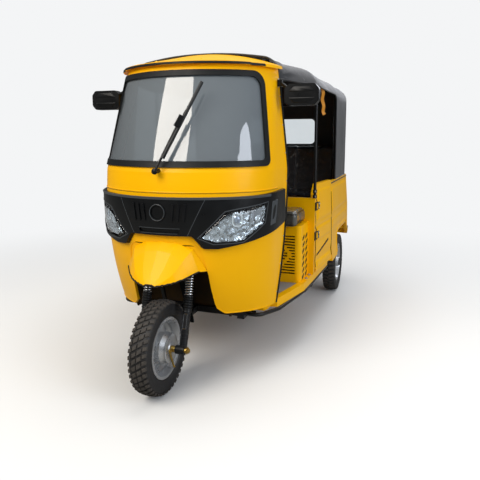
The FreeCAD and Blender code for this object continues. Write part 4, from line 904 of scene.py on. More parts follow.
@dataclass
class Fork:
    """Springs, brake plate and lever, ribs and bolts of the fork, drawn upright over the axle."""

    leg_x: float = 118.0
    leg_back: float = 24.0
    spring_low: float = 266.0
    spring_high: float = 384.0
    spring_r: float = 19.6
    wire_r: float = 4.2
    turns: int = 9
    plate_x: float = 61.5
    plate_r: float = 72.0

    def springs(self) -> None:
        """Chromed coil springs between the dust boots and the yoke."""
        for side, name in SIDE_NAMES.items():
            form, place, route = Form(), fork_place(), []
            steps = self.turns * 18
            for k in range(steps + 1):
                a = 2 * math.pi * k / 18
                z = self.spring_low + (self.spring_high - self.spring_low) * k / steps
                route.append(local(place, side * self.leg_x + self.spring_r * math.cos(a),
                                   self.leg_back + self.spring_r * math.sin(a), z))
            form.tube(route, self.wire_r, 8)
            form.piece(f"fork_spring_{name}", CHROME, "steering", smooth=60)
        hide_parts("fork_springs")

    def boots(self) -> None:
        """Rubber pleats of the dust boots, cast ribs of the lower legs, and the left leg's guide plate."""
        boots, ribs = Form(), Form()
        for side in (-1, 1):
            place = fork_place() @ moved(side * self.leg_x, self.leg_back, 0)
            for k in range(5):
                z = 204.0 + k * 12.6
                boots.turned([(22.5, z - 3.6), (24.6, z - 1.5), (24.6, z + 1.5), (22.5, z + 3.6)], place, 28)
            for k in range(7):
                z = 62.0 + k * 18.0
                ribs.turned([(19.5, z - 2.2), (21.4, z - 1.0), (21.4, z + 1.0), (19.5, z + 2.2)], place, 28)
            for z in (190.0, 266.0):
                ribs.turned([(19, z - 5), (22.8, z - 5), (23.4, z), (22.8, z + 2), (19, z + 2)], place, 28)
        plate, edge = Form(), Form()
        place = fork_place() @ moved(self.leg_x + 4.0, self.leg_back - 17.0, 140.0)
        plate.box((20, 9, 76), place)
        corners = [local(place, x, -5.2, z) for x, z in ((-9, -37), (9, -37), (9, 37), (-9, 37))]
        for a, b in zip(corners, corners[1:] + corners[:1]):
            edge.tube([a, (a + b) / 2, b], 1.5, 8)
        plate.piece("fork_guide_plate", BLACK_ENAMEL, "steering", bevel=1.0)
        edge.piece("fork_guide_edges", CHROME, "steering")
        boots.piece("fork_boot_pleats", EPDM, "steering")
        ribs.piece("fork_leg_ribs", BLACK_ENAMEL, "steering")

    def brake(self) -> None:
        """Cast plate that closes the drum, with its pressed ring, cam spindle and passivated lever."""
        axle = at_place(spot(0, FRONT_AXLE_Y, TYRE_R), BACK, LEFT)
        plate = Form()
        x = self.plate_x
        plate.turned([(16.5, x), (self.plate_r - 8, x - 0.2), (self.plate_r, x), (self.plate_r, x + 3),
                      (self.plate_r - 5, x + 4.6), (54, x + 4.2), (50, x + 2.6), (34, x + 2.6), (30, x + 6),
                      (16.5, x + 6)], axle, 48, looped=True)
        plate.piece("brake_plate", SILVER_PAINT, "steering")
        lever, pin = Form(), Form()
        top, foot = spot(69.5, 20, 236), spot(70.5, 60, 138)
        along = (foot - top).normalized()
        bar = at_place((top + foot) / 2, along, LEFT)
        half = (foot - top).length / MM / 2
        outline = ((-half - 8, -8), (half, -5.5), (half + 6, 0), (half, 5.5), (-half - 8, 8),
                   (-half - 13, 0))
        lever.prism(outline, -2.2, 2.2, bar)
        lever.piece("brake_lever", BRASS, "steering", bevel=0.8)
        add_fastener(pin, Fastener.HEX, spot(71.5, 20, 236), LEFT, 8.5)
        add_fastener(pin, Fastener.CAP, spot(72.5, 60, 140), LEFT, 4.5)
        pin.piece("brake_lever_bolts", BRASS, "steering")

    def nuts(self) -> None:
        """Hexagon nuts and washers on the axle's ends, and bolts through the yoke."""
        form = Form()
        for side in (-1, 1):
            add_fastener(form, Fastener.HEX, spot(side * 152.0, FRONT_AXLE_Y, TYRE_R), LEFT * side, 13.5)
        form.piece("axle_nuts", BRASS, "steering")
        bolts = Form()
        up = (fork_place().to_3x3() @ UP).normalized()
        for side in (-1, 1):
            head = local(fork_place(), side * self.leg_x, self.leg_back, 417.2)
            add_fastener(bolts, Fastener.HEX, head, up, 12.0)
        bolts.piece("yoke_bolts", ZINC, "steering")

    def build(self) -> None:
        """Make the fork's pieces."""
        self.springs()
        self.boots()
        self.brake()
        self.nuts()


# Nose and windscreen


@dataclass
class Nose:
    """Trim, lamps, seams and rivets on the cowl's front."""

    ring_z: float = 926.0
    ring_r: float = 40.0
    bead_z: float = 1024.0
    ledge_z: float = 1001.0
    rivet_x: tuple[float, ...] = (-400.0, -274.0, -148.0, -12.0, 114.0, 236.0, 361.0)
    # Bright ribs in a lamp, the corners of its opening and that opening's middle, as (across, height)
    rib_runs: tuple[tuple[tuple[float, float], ...], ...] = (
        ((300, 836), (420, 838), (505, 862), (546, 902)), ((330, 912), (420, 930), (500, 944), (566, 950)),
        ((330, 820), (430, 812), (520, 842)), ((296, 852), (380, 826), (480, 846), (552, 884)),
        ((344, 902), (440, 918), (520, 934), (568, 940)), ((276, 800), (330, 846), (352, 900)),
        ((440, 800), (470, 860), (476, 936)), ((520, 836), (548, 890), (560, 946)),
    )
    opening: tuple[tuple[float, float], ...] = (
        (216, 804), (338, 924), (575, 960), (552, 858), (428, 782), (288, 774),
    )
    opening_middle: tuple[float, float] = (400.0, 857.0)

    def seam(self) -> None:
        """Folded bead of the pressing, just over the mask, and the dark line under it, which is painted
        shade.
        """
        form = Form()
        line = round_nose(Skin("front_cowl"), self.bead_z, -82, 82, 90)
        follow(form, line, circle(3.2, 8))
        form.piece("nose_seam_bead", YELLOW)
        # Dark line just under the bead: painted shade
        shade = Form()
        line = round_nose(Skin("front_cowl"), self.bead_z - 6.0, -82, 82, 90)
        follow(shade, line, rounded(1.6, 1.2, 0.4, 2))
        shade.piece("nose_seam_painted_shade", EPDM)

    def ledge(self) -> None:
        """Lighter bevel along the mask's top edge, and the two slanting joints of the centre panel, drawn in
        grey that is painted highlight.
        """
        skin, form = Skin("fascia"), Form()
        line = round_nose(skin, self.ledge_z - 5.0, -68, 68, 80)
        follow(form, line, [(-7, -1), (6, -1), (6, 1.4), (-5, 4.0)])
        form.piece("mask_ledge", ABS_PAINTED_HIGHLIGHT, smooth=30)
        joint = Form()
        for side in (-1, 1):
            starts = [spot(side * (232.0 - 84.0 * k / 8), AHEAD, 990.0 - 176.0 * k / 8) for k in range(9)]
            follow(joint, skin.line(starts, BACK), strip(1.8, 1.4, 0.8))
        joint.piece("mask_panel_joints", ABS_PAINTED_HIGHLIGHT)

    def ring(self) -> None:
        """Bare round ring on the mask's boss, drawn in grey that is painted highlight."""
        met = Skin("fascia").meet(spot(self.ring_r - 1.0, AHEAD, self.ring_z), BACK)
        face = met[0] if met else spot(0, 60, self.ring_z)
        place = at_place(Vector((0, face.y, self.ring_z * MM)), LEFT, FRONT)
        form = Form()
        section = ((-2.0, -1), (-1.7, 1.6), (0.0, 2.2), (1.3, 1.4), (1.5, -1))
        form.turned([(self.ring_r + across, out) for across, out in section], place, 56, looped=True)
        form.piece("nose_ring", ABS_PAINTED_HIGHLIGHT)

    def slat_edges(self) -> None:
        """Grey lines along the lips of the lower slot: painted highlight."""
        skin, form = Skin("fascia"), Form()
        for z, half in ((848.0, 112.0), (822.0, 100.0)):
            starts = [spot(-half + 2 * half * k / 14, AHEAD, z) for k in range(15)]
            follow(form, skin.line(starts, BACK), strip(1.6, 1.2, 1.3))
        form.piece("mask_slot_lips", ABS_PAINTED_HIGHLIGHT)

    def sight(self, side: int, u: float, z: float, skin: Skin) -> Hit:
        """Point and normal of a lamp's surface, seen square on at 45 degrees.

        Args:
            side: 1 on the left of the vehicle, -1 on the right.
            u: Distance across the view, in millimetres.
            z: Height.
            skin: Surface to look at.

        Returns:
            The point and the outward normal.
        """
        across = u * SLANT
        met = skin.meet(spot(side * (across - AHEAD), across + AHEAD, z), Vector((-side, 1, 0)) * SLANT)
        if met:
            return met
        return spot(side * across, across, z), Vector((side, -1, 0)) * SLANT

    def lamp(self, side: int, skin: Skin) -> None:
        """Reflector bowls, projector ring, grey panel and bright lines behind a clear cover."""
        name = SIDE_NAMES[side]
        bowls, rings, panels = Form(), Form(), Form()

        def seat(u: float, z: float, deep: float) -> Matrix:
            """Frame on the lamp's surface, sunk by a depth in millimetres."""
            point, normal = self.sight(side, u, z, skin)
            return at_place(point - normal * deep * MM, UP, normal)

        bowls.turned([(31, 10.0), (29, 8), (24, 4.5), (16, 2), (9, 0.8), (8, 5), (6, 8), (2, 9)],
                     seat(317, 868, 12.5), 36)
        bowls.turned([(18, 9), (16, 6.5), (12, 3), (6, 1.2), (2, 0.8)], seat(512, 885, 12.5), 32)
        place = seat(398, 886, 12.5)
        rings.prism(rounded(70, 54, 18, 6), 0, 6.0, place)
        bowls.prism(rounded(58, 42, 14, 6), 6.0, 7.2, place)
        rings.piece(f"lamp_projector_ring_{name}", REFLECTOR, bevel=1.5)
        domed = Form()
        domed.turned([(17, 6), (16, 8.4), (12, 10.2), (7, 11), (1, 11.2)], place, 32)
        domed.piece(f"lamp_projector_lens_{name}", PROJECTOR_GLASS)
        for run in self.rib_runs:
            corners = curve_through([Vector((u, z, 0)) for u, z in run], 6)
            line = [self.sight(side, c.x, c.y, skin) for c in corners]
            follow(bowls, [(p - n * 7.0 * MM, n) for p, n in line],
                   [(-1.7, -4), (1.7, -4), (1.7, 1.2), (-1.7, 1.2)])
        bowls.piece(f"lamp_reflectors_{name}", REFLECTOR_PAINTED_REFLECTION, smooth=50)
        corners = [self.sight(side, u, z, skin) for u, z in ((462, 868), (535, 886), (548, 938), (474, 928))]
        panels.skin([[p - n * d * MM for p, n in corners] for d in (10.0, 5.0)])
        panels.piece(f"lamp_grey_panel_{name}", LAMP_TRIM, bevel=1.5)
        # Side panel of the mask in lighter grey: painted highlight
        wing, mask = Form(), Skin("fascia")
        corners = [self.sight(side, u, z, mask) for u, z in ((600, 838), (648, 846), (668, 968), (616, 962))]
        wing.skin([[p + n * d * MM for p, n in corners] for d in (-2.0, 2.0)])
        wing.piece(f"mask_wing_panel_{name}", ABS_PAINTED_HIGHLIGHT, bevel=1.2)

    def covers(self) -> None:
        """Clear covers and rippled metal backings, cut from the front faces of the lamp units."""
        for side in (-1, 1):
            shell = welded("headlamps", 1e-5)
            away = Vector((side, -1, 0)) * SLANT
            hidden = [f for f in shell.faces
                      if f.normal.dot(away) < 0.35 or f.calc_center_median().x * side < 0]
            bmesh.ops.delete(shell, geom=hidden, context="FACES")
            mesh = settled(shell, f"lamp_cover_{SIDE_NAMES[side]}")
            backing = placed(f"lamp_backing_{SIDE_NAMES[side]}", mesh.copy())
            for vertex in backing.data.vertices:
                vertex.co = vertex.co - away * 11.6 * MM
            soften(backing, 40.0)
            carried(backing, REFLECTOR_PAINTED_REFLECTION)
            cover = placed(mesh.name, mesh)
            soften(cover, 40.0)
            thick = cover.modifiers.new("wall", "SOLIDIFY")
            thick.thickness, thick.offset = 1.6 * MM, -1.0
            carried(cover, LENS)
        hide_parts("headlamps")

    def bezels(self, side: int) -> None:
        """Grey line round a lamp's opening: painted highlight."""
        line, mask = [], Skin("fascia")
        across, level = self.opening_middle
        for a, b in zip(self.opening, self.opening[1:] + self.opening[:1]):
            for k in range(8):
                u, z = a[0] + (b[0] - a[0]) * k / 8, a[1] + (b[1] - a[1]) * k / 8
                grow = 1.0 + 9.0 / math.hypot(u - across, z - level)
                line.append(self.sight(side, across + (u - across) * grow, level + (z - level) * grow, mask))
        form = Form()
        follow(form, line, strip(2.6, 2.0, 1.6), looped=True)
        form.piece(f"lamp_bezel_{SIDE_NAMES[side]}", ABS_PAINTED_HIGHLIGHT)

    def roof_edge(self) -> None:
        """Rubber edge of the roof sheet over the windscreen, and its rivets."""
        skin, cowl, form, rivets = Skin("roof_visor"), Skin("front_cowl"), Form(), Form()
        line = []
        for k in range(101):
            turn = math.radians(-80.0 + 160.0 * k / 100)
            way = Vector((-math.sin(turn), math.cos(turn), 0))
            met = skin.first((spot(0, NOSE_CENTRE_Y, 1560.0 + 3.0 * j) - way * 1.2 for j in range(50)), way)
            if met is None:
                continue
            over = met[0] + UP * 5.0 * MM
            faces = [hit for sheet in (skin, cowl) for hit in sheet.line([over - way * 0.4], way)]
            if faces:
                line.append(min(faces, key=lambda hit: (hit[0] - over).dot(way)))
        follow(form, line, [(-7.0, -3), (6.0, -3), (6.0, 1.0), (4.0, 2.6), (-5.0, 2.6), (-7.0, 1.0)])
        form.piece("visor_rubber", EPDM, smooth=50)
        starts = [spot(x, AHEAD, 1690.0 - 22.0 * (x / 400.0) ** 2) for x in self.rivet_x]
        for point, normal in skin.line(starts, BACK):
            add_fastener(rivets, Fastener.RIVET, point, normal, 6.0)
        rivets.piece("visor_rivets", YELLOW)

    def beak_shell(self) -> None:
        """Creased mudguard beak with softly pressed creases and a rubber edging under its lip."""
        shell = welded("beak")
        bmesh.ops.dissolve_limit(shell, angle_limit=math.radians(1.2), verts=shell.verts, edges=shell.edges)
        made = placed("beak_shell", settled(shell, "beak_shell"))
        rounding = made.modifiers.new("creases", "BEVEL")
        rounding.width, rounding.segments, rounding.limit_method = 9.0 * MM, 3, "ANGLE"
        rounding.angle_limit = math.radians(5.0)
        soften(made, 40.0)
        carried(made, YELLOW)
        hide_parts("beak")
        skin, edging, line = Skin("beak"), Form(), []
        for k in range(61):
            x = -236.0 + 472.0 * k / 60
            met = skin.first((spot(x, AHEAD, 520.0 + 4.0 * j) for j in range(70)), BACK)
            if met:
                line.append((met[0] + (BACK * 0.5 + UP) * MM, met[1]))
        follow(edging, line, circle(4.2, 8))
        edging.piece("beak_edging", EPDM)

    def beak_flange(self) -> None:
        """Yellow sheet that closes the cowl behind the beak's root."""
        skin, form = Skin("front_cowl"), Form()
        for side in (-1, 1):
            rows: list[list[Vector]] = []
            for k in range(27):
                z = 634.0 + 7.6 * k
                scan = skin.line((spot(side * (60.0 + 3.0 * j), AHEAD, z) for j in range(90)), BACK)
                edge = next((abs(hit[0].x) / MM for hit in scan if hit[0].y < spot(0, 190, 0).y), 0.0)
                if edge < 70.0:
                    continue
                near = skin.meet(spot(side * (edge + 6.0), AHEAD, z), BACK)
                far = skin.meet(spot(side * (edge + 36.0), AHEAD, z), BACK)
                if near is None or far is None:
                    continue
                slope = (far[0].y - near[0].y) / (30.0 * MM)
                bend = slope / (2.0 * (edge + 20.0) * MM)
                out = (edge + 6.0) * MM
                steps = [out - 66.0 * MM * j / 6 for j in range(7)]
                rows.append([Vector((side * x, near[0].y - bend * (out * out - x * x) + 3.0 * MM, z * MM))
                             for x in steps])
            if len(rows) > 2:
                form.skin([row + [p + BACK * 1.6 * MM for p in reversed(row)] for row in rows])
        form.piece("beak_flange", YELLOW, smooth=50)

    def jambs(self) -> None:
        """Folded strip with rivets, and the rubber behind it, up the cowl's rear edges."""
        skin = Skin("front_cowl")
        band, rubber, rivets = Form(), Form(), Form()
        for side in (-1, 1):
            toward = LEFT * -side
            inner, outer = [], []
            for k in range(41):
                z = 372.0 + (1600.0 - 372.0) * k / 40
                edge = skin.first((spot(side * BESIDE, 720.0 - 3.0 * j, z) for j in range(90)), toward)
                if edge is None or edge[0].x * side < 0.2:
                    continue
                outer.append((edge[0] - BACK * 1.5 * MM, edge[1]))
                inner += skin.line([Vector((side * BESIDE * MM, edge[0].y - 14.0 * MM, z * MM))], toward)
                if k % 5 == 2 and inner:
                    point, normal = inner[-1]
                    add_fastener(rivets, Fastener.RIVET, point + normal * 1.4 * MM, normal, 4.2)
            follow(band, inner, strip(8, 7, 1.6))
            follow(rubber, outer, [(-7, -2), (7, -2), (7, 7.0), (2, 9.0), (-5, 6.0)])
        band.piece("cowl_jamb_strips", YELLOW)
        rubber.piece("cowl_jamb_rubber", EPDM)
        rivets.piece("cowl_jamb_rivets", ZINC)

    def foot_lip(self) -> None:
        """Rolled lip along the cowl's foot."""
        skin, form = Skin("front_cowl"), Form()
        for side in (-1, 1):
            line = []
            for k in range(31):
                turn = math.radians(24.0 + 56.0 * k / 30)
                way = Vector((-side * math.sin(turn), math.cos(turn), 0))
                starts = (spot(0, NOSE_CENTRE_Y, 330.0 + 4.0 * j) - way * 1.1 for j in range(40))
                met = skin.first(starts, way)
                if met:
                    line.append((met[0] + UP * 3.0 * MM, met[1]))
            follow(form, line, circle(3.4, 8))
        form.piece("cowl_foot_lip", YELLOW)

    def build(self) -> None:
        """Make the nose's pieces."""
        skin = Skin("headlamps")
        self.seam()
        self.ledge()
        self.ring()
        self.slat_edges()
        for side in (-1, 1):
            self.lamp(side, skin)
            self.bezels(side)
        self.covers()
        self.roof_edge()
        self.beak_shell()
        self.beak_flange()
        self.jambs()
        self.foot_lip()


# Cab and floor


@dataclass
class Cab:
    """Details of the mirrors and the wiper, dial, grips, and fittings of seat base, sills and pillars."""

    mirror_middle: tuple[float, float] = (598.0, 1510.0)
    mirror_front: float = 556.0
    mirror_rear: float = 604.0
    hole_rows: tuple[float, ...] = (410.0, 450.0, 492.0, 534.0, 576.0, 618.0, 660.0)
    base_side: float = 530.0
    bolt_stations: tuple[float, ...] = (1010.0, 1100.0)

    def mirrors(self) -> None:
        """Pressed pads on the mirrors' shells, their glass, and bright bolts in the bracket plates."""
        pads, glass, bolts = Form(), Form(), Form()
        cx, cz = self.mirror_middle
        for side in (-1, 1):
            front = at_place(spot(side * cx, self.mirror_front + 0.5, cz), LEFT, FRONT)
            for sign in (-1, 1):
                low, high = sorted((sign * 14.0, sign * 44.0))
                wide_low, wide_high = (44.0, 70.0) if sign < 0 else (70.0, 44.0)
                rings = []
                for inset, lift in ((0.0, -1.0), (1.5, 2.0), (5.0, 3.4)):
                    rings.append([local(front, a, b, lift) for a, b in (
                        (-wide_low + inset, low + inset), (wide_low - inset, low + inset),
                        (wide_high - inset, high - inset), (-wide_high + inset, high - inset))])
                pads.skin(rings)
            rear = at_place(spot(side * cx, self.mirror_rear - 0.4, cz), LEFT, BACK)
            outline = rounded(164.0, 92.0, 26.0, 3)
            glass.skin([[local(rear, a * s, b * s, h) for a, b in outline]
                        for s, h in ((1.0, 0.0), (1.0, 1.2), (0.96, 1.6))])
            for z in (1560.0, 1586.0, 1598.0):
                add_fastener(bolts, Fastener.HEX, spot(side * 454.5, 620.0, z), LEFT * side, 5.0)
        pads.piece("mirror_pads", ABS, bevel=0.8)
        glass.piece("mirror_glass", MIRROR_GLASS)
        bolts.piece("mirror_bolts", ZINC)

    def wiper(self) -> None:
        """Cap of the spindle, joint of the blade and its two rubber lips."""
        cap, lips = Form(), Form()
        place = at_place(spot(-6, 52, 1127), LEFT, Vector((0.05, -1, 0.1)))
        cap.turned([(15, -6), (15, 3), (12, 6), (5, 7.5), (1, 7.8)], place, 24)
        cap.piece("wiper_cap", ABS)
        low, high = spot(31, 71, 1192), spot(183, 203, 1554)
        out = Vector((0.5, -0.75, 0.1)).normalized()
        along = (high - low).normalized()
        beside = along.cross(out).normalized()
        for share_low, share_high, shift in ((0.0, 1.0, 6.5), (0.04, 0.62, -6.5)):
            a = low + (high - low) * share_low + beside * shift * MM
            b = low + (high - low) * share_high + beside * shift * MM
            lips.tube([a + (b - a) * t for t in (0.0, 0.5, 1.0)], 3.2, 8)
        lips.piece("wiper_rubbers", EPDM)
        joint = Form()
        joint.box((30, 12, 64), at_place(spot(98, 122, 1366), Vector((1, 0.4, 0)), along))
        joint.piece("wiper_joint", ABS, bevel=4.0, steps=3)

    def dial(self) -> None:
        """Plain speed dial on the housing's slanting top: face, rim, ticks and pointer."""
        face, marks = Form(), Form()
        place = at_place(spot(0, 236, 1128.5), LEFT, Vector((0, 0.25, 1)))
        face.turned([(44, 0.0), (44, 1.5), (1, 1.6)], place, 40)
        for k in range(19):
            a = math.radians(-45 + 270 * k / 18)
            inner = 34.0 if k % 3 == 0 else 37.5
            x, y = math.cos(a), math.sin(a)
            middle = (inner + 41) / 2
            at = moved(middle * x, middle * y, 2.0)
            marks.box((41 - inner, 1.4, 0.8), place @ at @ Matrix.Rotation(a, 4, "Z"))
        marks.box((38, 2.2, 0.8), place @ Matrix.Rotation(math.radians(200), 4, "Z")
                  @ moved(14, 0, 3.2))
        face.piece("dial_face", DIAL_FACE)
        marks.piece("dial_marks", ABS)

    def grips(self) -> None:
        """Rings of the rubber grips, and the two hand levers."""
        rings, levers, turn = Form(), Form(), fork_place()
        for side in (-1, 1):
            start = local(turn, side * 160.0, 272.0, 768.0)
            end = local(turn, side * 250.0, 309.0, 768.0)
            axis = at_place(start, UP, end - start)
            for k in range(11):
                z = 8.0 + k * 8.0
                rings.turned([(16.2, z - 2), (18.6, z - 1.2), (18.6, z + 1.2), (16.2, z + 2)], axis, 24)
            ahead = (turn.to_3x3() @ FRONT).normalized()
            route = curve_through([start - (end - start) * 0.5 + ahead * 0.018, start + ahead * 0.05,
                                   end + ahead * 0.055 - (end - start) * 0.1, end + ahead * 0.05], 6)
            levers.tube(route, 4.6, 10)
        rings.piece("grip_rings", EPDM, "steering")
        levers.piece("hand_levers", ZINC, "steering")

    def base_fittings(self) -> None:
        """Dark ovals of painted shade on the ends of the seat base where it has slanting slot holes, their
        lips, and a dark screen behind its louvres that is painted shade.
        """
        slot_shades, lips = Form(), Form()
        for side in (-1, 1):
            for row, z in enumerate(self.hole_rows):
                for k in range(2):
                    y = 978.0 + k * 88.0 + (10.0 if row % 2 else 0.0)
                    middle = spot(side * (self.base_side + 0.2), y, z)
                    place = at_place(middle, Vector((0, 1, 0.3)), LEFT * side)
                    # Dark ovals just proud of the side: painted shade in the slot holes
                    oval = rounded(64.0, 25.0, 12.4, 5)
                    slot_shades.skin([[local(place, a, b, h) for a, b in oval] for h in (-0.5, 0.25)])
                    rings = []
                    for grow, lift in ((0.0, 0.1), (0.6, 1.1), (2.6, 0.9), (4.0, -0.2)):
                        rim = rounded(64.0 + 2 * grow, 25.0 + 2 * grow, 12.4 + grow, 5)
                        rings.append([local(place, a, b, lift) for a, b in rim])
                    lips.skin(rings, capped=False)
        # Dark sheet behind the louvres: painted shade seen through them
        backing = Form()
        backing.box((1030, 3, 318), at_place(spot(0, 914.0, 560.0), LEFT, UP))
        backing.piece("louvre_painted_shade_screen", EPDM, bevel=0.5)
        slot_shades.piece("seat_base_slot_painted_shade", EPDM)
        lips.piece("seat_base_slot_lips", YELLOW)

    def sill_bolts(self) -> None:
        """Bolts through the sills, and brackets with a bolt under the cowl's foot."""
        bolts, plates = Form(), Form()
        for side in (-1, 1):
            for y in self.bolt_stations:
                add_fastener(bolts, Fastener.HEX, spot(side * 545.0, y, 388.0), UP, 9.0)
            plates.box((64, 5, 34), at_place(spot(side * 352.0, 452.0, 322.0), LEFT, UP))
            add_fastener(bolts, Fastener.HEX, spot(side * 352.0, 449.5, 322.0), FRONT, 8.0)
        bolts.piece("sill_bolts", ZINC)
        plates.piece("cowl_foot_brackets", BLACK_ENAMEL, bevel=1.2)

    def pillar_clamps(self) -> None:
        """Clamps round the feet of the cab's rear hoop, each with its bolt."""
        form, bolts = Form(), Form()
        for side in (-1, 1):
            for z in (906.0, 940.0):
                place = at_place(spot(side * 568.0, 1132.0, z), LEFT, UP)
                form.turned([(10.0, -11), (13.6, -11), (13.6, 11), (10.0, 11)], place, 24, looped=True)
                form.box((9, 20, 14), at_place(spot(side * 568.0, 1115.0, z), LEFT, FRONT))
                add_fastener(bolts, Fastener.HEX, spot(side * 573.5, 1115.0, z), LEFT * side, 5.0)
        form.piece("pillar_clamps", BLACK_ENAMEL, bevel=0.8)
        bolts.piece("pillar_clamp_bolts", ZINC)

    def build(self) -> None:
        """Make the cab's pieces."""
        self.mirrors()
        self.wiper()
        self.dial()
        self.grips()
        self.base_fittings()
        self.sill_bolts()
        self.pillar_clamps()


# Doors and rear body


@dataclass
class Door:
    """Pressings, slot, edge rubber and hinge bolts of one half door, carried by the door."""

    side: int
    heights: tuple[float, float] = (645.0, 840.0)
    # Corners, rise and border of the door's raised panels
    panels: tuple[tuple[tuple[tuple[float, float], ...], float, float], ...] = (
        (((1206, 590), (1562, 600), (1562, 694), (1206, 694)), 5.0, 15.0),
        (((1206, 730), (1562, 730), (1562, 944), (1250, 944)), 5.0, 15.0),
        (((1206, 414), (1562, 414), (1562, 458), (1206, 458)), 3.5, 9.0),
    )

    def beside(self, y: float, z: float) -> Vector:
        """Starting point of a ray from outside the door."""
        return spot(self.side * BESIDE, y, z)

    def build(self) -> None:
        """Make the door's pieces."""
        body = f"door_{SIDE_NAMES[self.side]}"
        skin, toward = Skin(body), LEFT * -self.side
        panels = Form()
        for corners, rise, chamfer in self.panels:
            pressing(panels, skin, corners, toward, rise, chamfer)
        panels.piece(f"{body}_pressings", YELLOW, body, smooth=50)
        # The slot is a dark strip inside a yellow lip: painted shade in its opening
        slot, lip = Form(), Form()
        starts = [self.beside(1212.0 + 290.0 * k / 4, 500.0 + 60.0 * k / 4) for k in range(5)]
        line = skin.line(starts, toward)
        follow(slot, line, strip(8, 8, 0.8))
        follow(lip, line, strip(13, 11, 0.5))
        slot.piece(f"{body}_slot", EPDM, body)
        lip.piece(f"{body}_slot_lip", YELLOW, body)
        rubber = Form()
        for y in (1178.0, 1585.0):
            edge = skin.line((self.beside(y, 424.0 + 470.0 * k / 12) for k in range(13)), toward)
            follow(rubber, edge, strip(3, 2.4, 2.2))
        rubber.piece(f"{body}_edge_rubber", EPDM, body)
        plates, bolts = Form(), Form()
        hinges = [self.beside(1196.0, z) for z in self.heights]
        for point, normal in skin.line(hinges, toward):
            plates.prism(rounded(40, 50, 7, 3), -0.5, 2.6, at_place(point, BACK, normal))
            for dz in (-13.0, 13.0):
                head = point + (UP * dz + normal * 2.6) * MM
                add_fastener(bolts, Fastener.HEX, head, normal, 5.5)
        plates.piece(f"{body}_hinge_plates", BLACK_ENAMEL, body, bevel=0.8)
        bolts.piece(f"{body}_hinge_bolts", ZINC, body)


